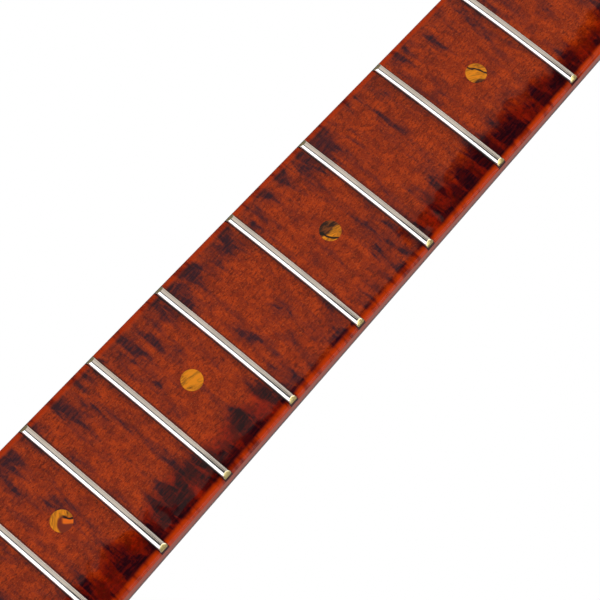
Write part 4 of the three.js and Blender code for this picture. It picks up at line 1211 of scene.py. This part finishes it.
def inner_pieces():
    """The pieces that keep their CAD shape: inside the sound box, and the rod in the neck."""
    woods = {
        INNER_SPRUCE: ("top_lining", "back_lining", "top_bracing", "back_bracing"),
        MAHOGANY: ("neck_block", "tail_block"),
        STEEL: ("truss_rod",),
        BRASS: ("truss_rod_nut",),
    }
    for material, nodes in woods.items():
        for node in nodes:
            mesh = frame["nodes"][node].data
            mesh.materials.clear()
            mesh.materials.append(material)


fretboard()
for fret_node in FRETS:
    fret(fret_node)
dots()
nut()
neck()
headstock()
for plate_side, plate_name in SIDES:
    tuner_plate(plate_side, plate_name)
for machine_side, machine_name, machine_post in POSTS:
    worm(machine_side, machine_name, machine_post)
    post_and_gear(machine_side, machine_name, machine_post)
sound_box()
heel_cap()
bridge()
end_pin()
inner_pieces()

# ------ camera, lights and floor


def camera():
    """Close to the treble side, looking up the neck, rolled so that the neck runs corner to corner."""
    data = bpy.data.cameras.new("camera")
    data.lens = 123.57
    data.sensor_width = 36
    data.clip_start = 0.01
    made = bpy.data.objects.new("camera", data)
    bpy.context.scene.collection.objects.link(made)
    eye = Vector((0.1170, -0.4976, -0.3233))
    aim = Vector((0.0066, 0.0, -0.1686))
    upright = (aim - eye).to_track_quat("-Z", "Y").to_matrix().to_4x4()
    made.matrix_world = Matrix.Translation(eye) @ upright @ Matrix.Rotation(radians(42.58), 4, "Z")
    bpy.context.scene.camera = made


def card(name, middle, size, aim, colour, strength, diffuse=True, glossy=True):
    """Flat studio card that glows, or a black flag at strength 0; the camera doesn't see it."""
    w, h = size[0] / 2, size[1] / 2
    corners = [(a, b, 0) for a, b in rectangle(w, -h, h)]
    made = new_object(name, corners, [(0, 1, 2, 3)])
    direction = Vector(aim) - Vector(middle)
    made.matrix_world = Matrix.Translation(middle) @ direction.to_track_quat("Z", "Y").to_matrix().to_4x4()
    material = bpy.data.materials.new(name)
    material.use_nodes = True
    tree = material.node_tree
    tree.nodes.clear()
    glow = flow(tree, "Emission", {"Color": (*colour, 1.0), "Strength": strength})
    add(tree, "OutputMaterial", {0: glow})
    made.data.materials.append(material)
    made.visible_camera = False
    made.visible_diffuse = diffuse
    made.visible_glossy = glossy
    made.visible_shadow = False


def front_card(name, x, z, size, colour, strength, level=-1.5, diffuse=True):
    """A card in front of the playing face and parallel to it."""
    card(name, (x, level, z), size, (x, 0, z), colour, strength, diffuse=diffuse)


def lights():
    """Cards set by what the lacquer mirrors: a pale veil on the bass side and white along the frets.

    The flags keep the treble side clear, and the other cards light the edges, the sides and the back.
    """
    warm, neutral, veil, black = (1.0, 0.87, 0.70), (1.0, 0.98, 0.95), (1.0, 0.86, 0.70), (0, 0, 0)
    middle = (0, 0, -0.3)
    upper_neck = (0, 0, -0.2)

    front_card("key_card", -0.80, 0.79, (1.18, 2.1), veil, 0.66)
    front_card("key_step", -0.165, 0.225, (0.09, 0.41), veil, 0.66)
    front_card("key_tip", -0.105, 0.32, (0.03, 0.22), veil, 0.66)
    front_card("upper_card", 0.62, 1.42, (1.66, 1.2), veil, 0.66)
    front_card("fret_card", 0.10, -1.55, (4.0, 1.4), neutral, 1.7)
    front_card("gap_flag", 0.10, -0.56, (4.0, 0.50), neutral, 0.10, level=-1.49, diffuse=False)
    front_card("black_flag", 0.36, 0.25, (1.15, 1.10), black, 0.0, level=-1.52, diffuse=False)

    card("under_card", (0.10, -0.45, -2.30), (4.0, 2.7), (0.10, -0.45, 0), neutral, 1.7, diffuse=False)
    card("ceiling_card", (0, 0.35, 2.4), (4.0, 3.6), (0, 0.35, 0), warm, 0.62, diffuse=False)
    card("edge_strip", (1.23, -0.77, 0.1), (0.18, 2.2), upper_neck, neutral, 3.2, diffuse=False)
    card("end_card", (1.5, -0.05, 0.2), (0.4, 0.9), upper_neck, neutral, 2.4, diffuse=False)
    card("right_card", (1.6, -0.6, 0.0), (1.6, 2.2), middle, (1.0, 0.97, 0.92), 1.3, glossy=False)
    card("top_card", (0, -0.6, 2.2), (3.0, 3.0), (0, -0.2, 0), neutral, 3.2, glossy=False)
    card("back_card", (-0.9, 2.5, 0.5), (2.6, 2.6), (-0.2, 0, -0.3), neutral, 1.5, glossy=False)
    card("back_gloss", (2.7, 2.4, -0.5), (2.2, 3.6), middle, neutral, 0.8, diffuse=False)


def world():
    """White behind the instrument, and a soft grey room in what it reflects."""
    made = bpy.data.worlds.new("world")
    bpy.context.scene.world = made
    made.use_nodes = True
    tree = made.node_tree
    tree.nodes.clear()
    seen = flow(tree, "LightPath", output="Is Camera Ray")
    colour = blend(seen, (0.22, 0.205, 0.20), (1.0, 1.0, 1.0))
    add(tree, "OutputWorld", {0: flow(tree, "Background", {"Color": colour})})


def floor():
    """Pale floor that catches a soft shadow and brightens to the white of the background further out."""
    reach, level = 60.0, CAD_LOW.z - 0.03
    corners = [(a, b, level) for a, b in rectangle(reach, -reach, reach)]
    made = new_object("floor", corners, [(0, 1, 2, 3)])
    material, shader, here = new_material("floor", Roughness=0.8, Specular_IOR_Level=0.0)
    speckle = noise(here, (40, 40, 40), detail=4)
    feed(shader, Base_Color=blend(speckle, (0.86, 0.86, 0.85), (0.89, 0.89, 0.88)))
    tree = here.tree
    away = flow(tree, "VectorMath", {0: here}, "Value", operation="LENGTH")
    glow = flow(tree, "Emission", {"Color": (1, 1, 1, 1), "Strength": 1.0})
    mixed = flow(tree, "MixShader", {0: band(away, 0.9, 2.2), 1: Signal(shader.outputs[0]), 2: glow})
    feed(tree.nodes["Material Output"], Surface=mixed)
    made.data.materials.append(material)
    made.visible_diffuse = False
    made.visible_glossy = False


camera()
lights()
world()
floor()
bpy.context.scene.view_settings.view_transform = "Standard"
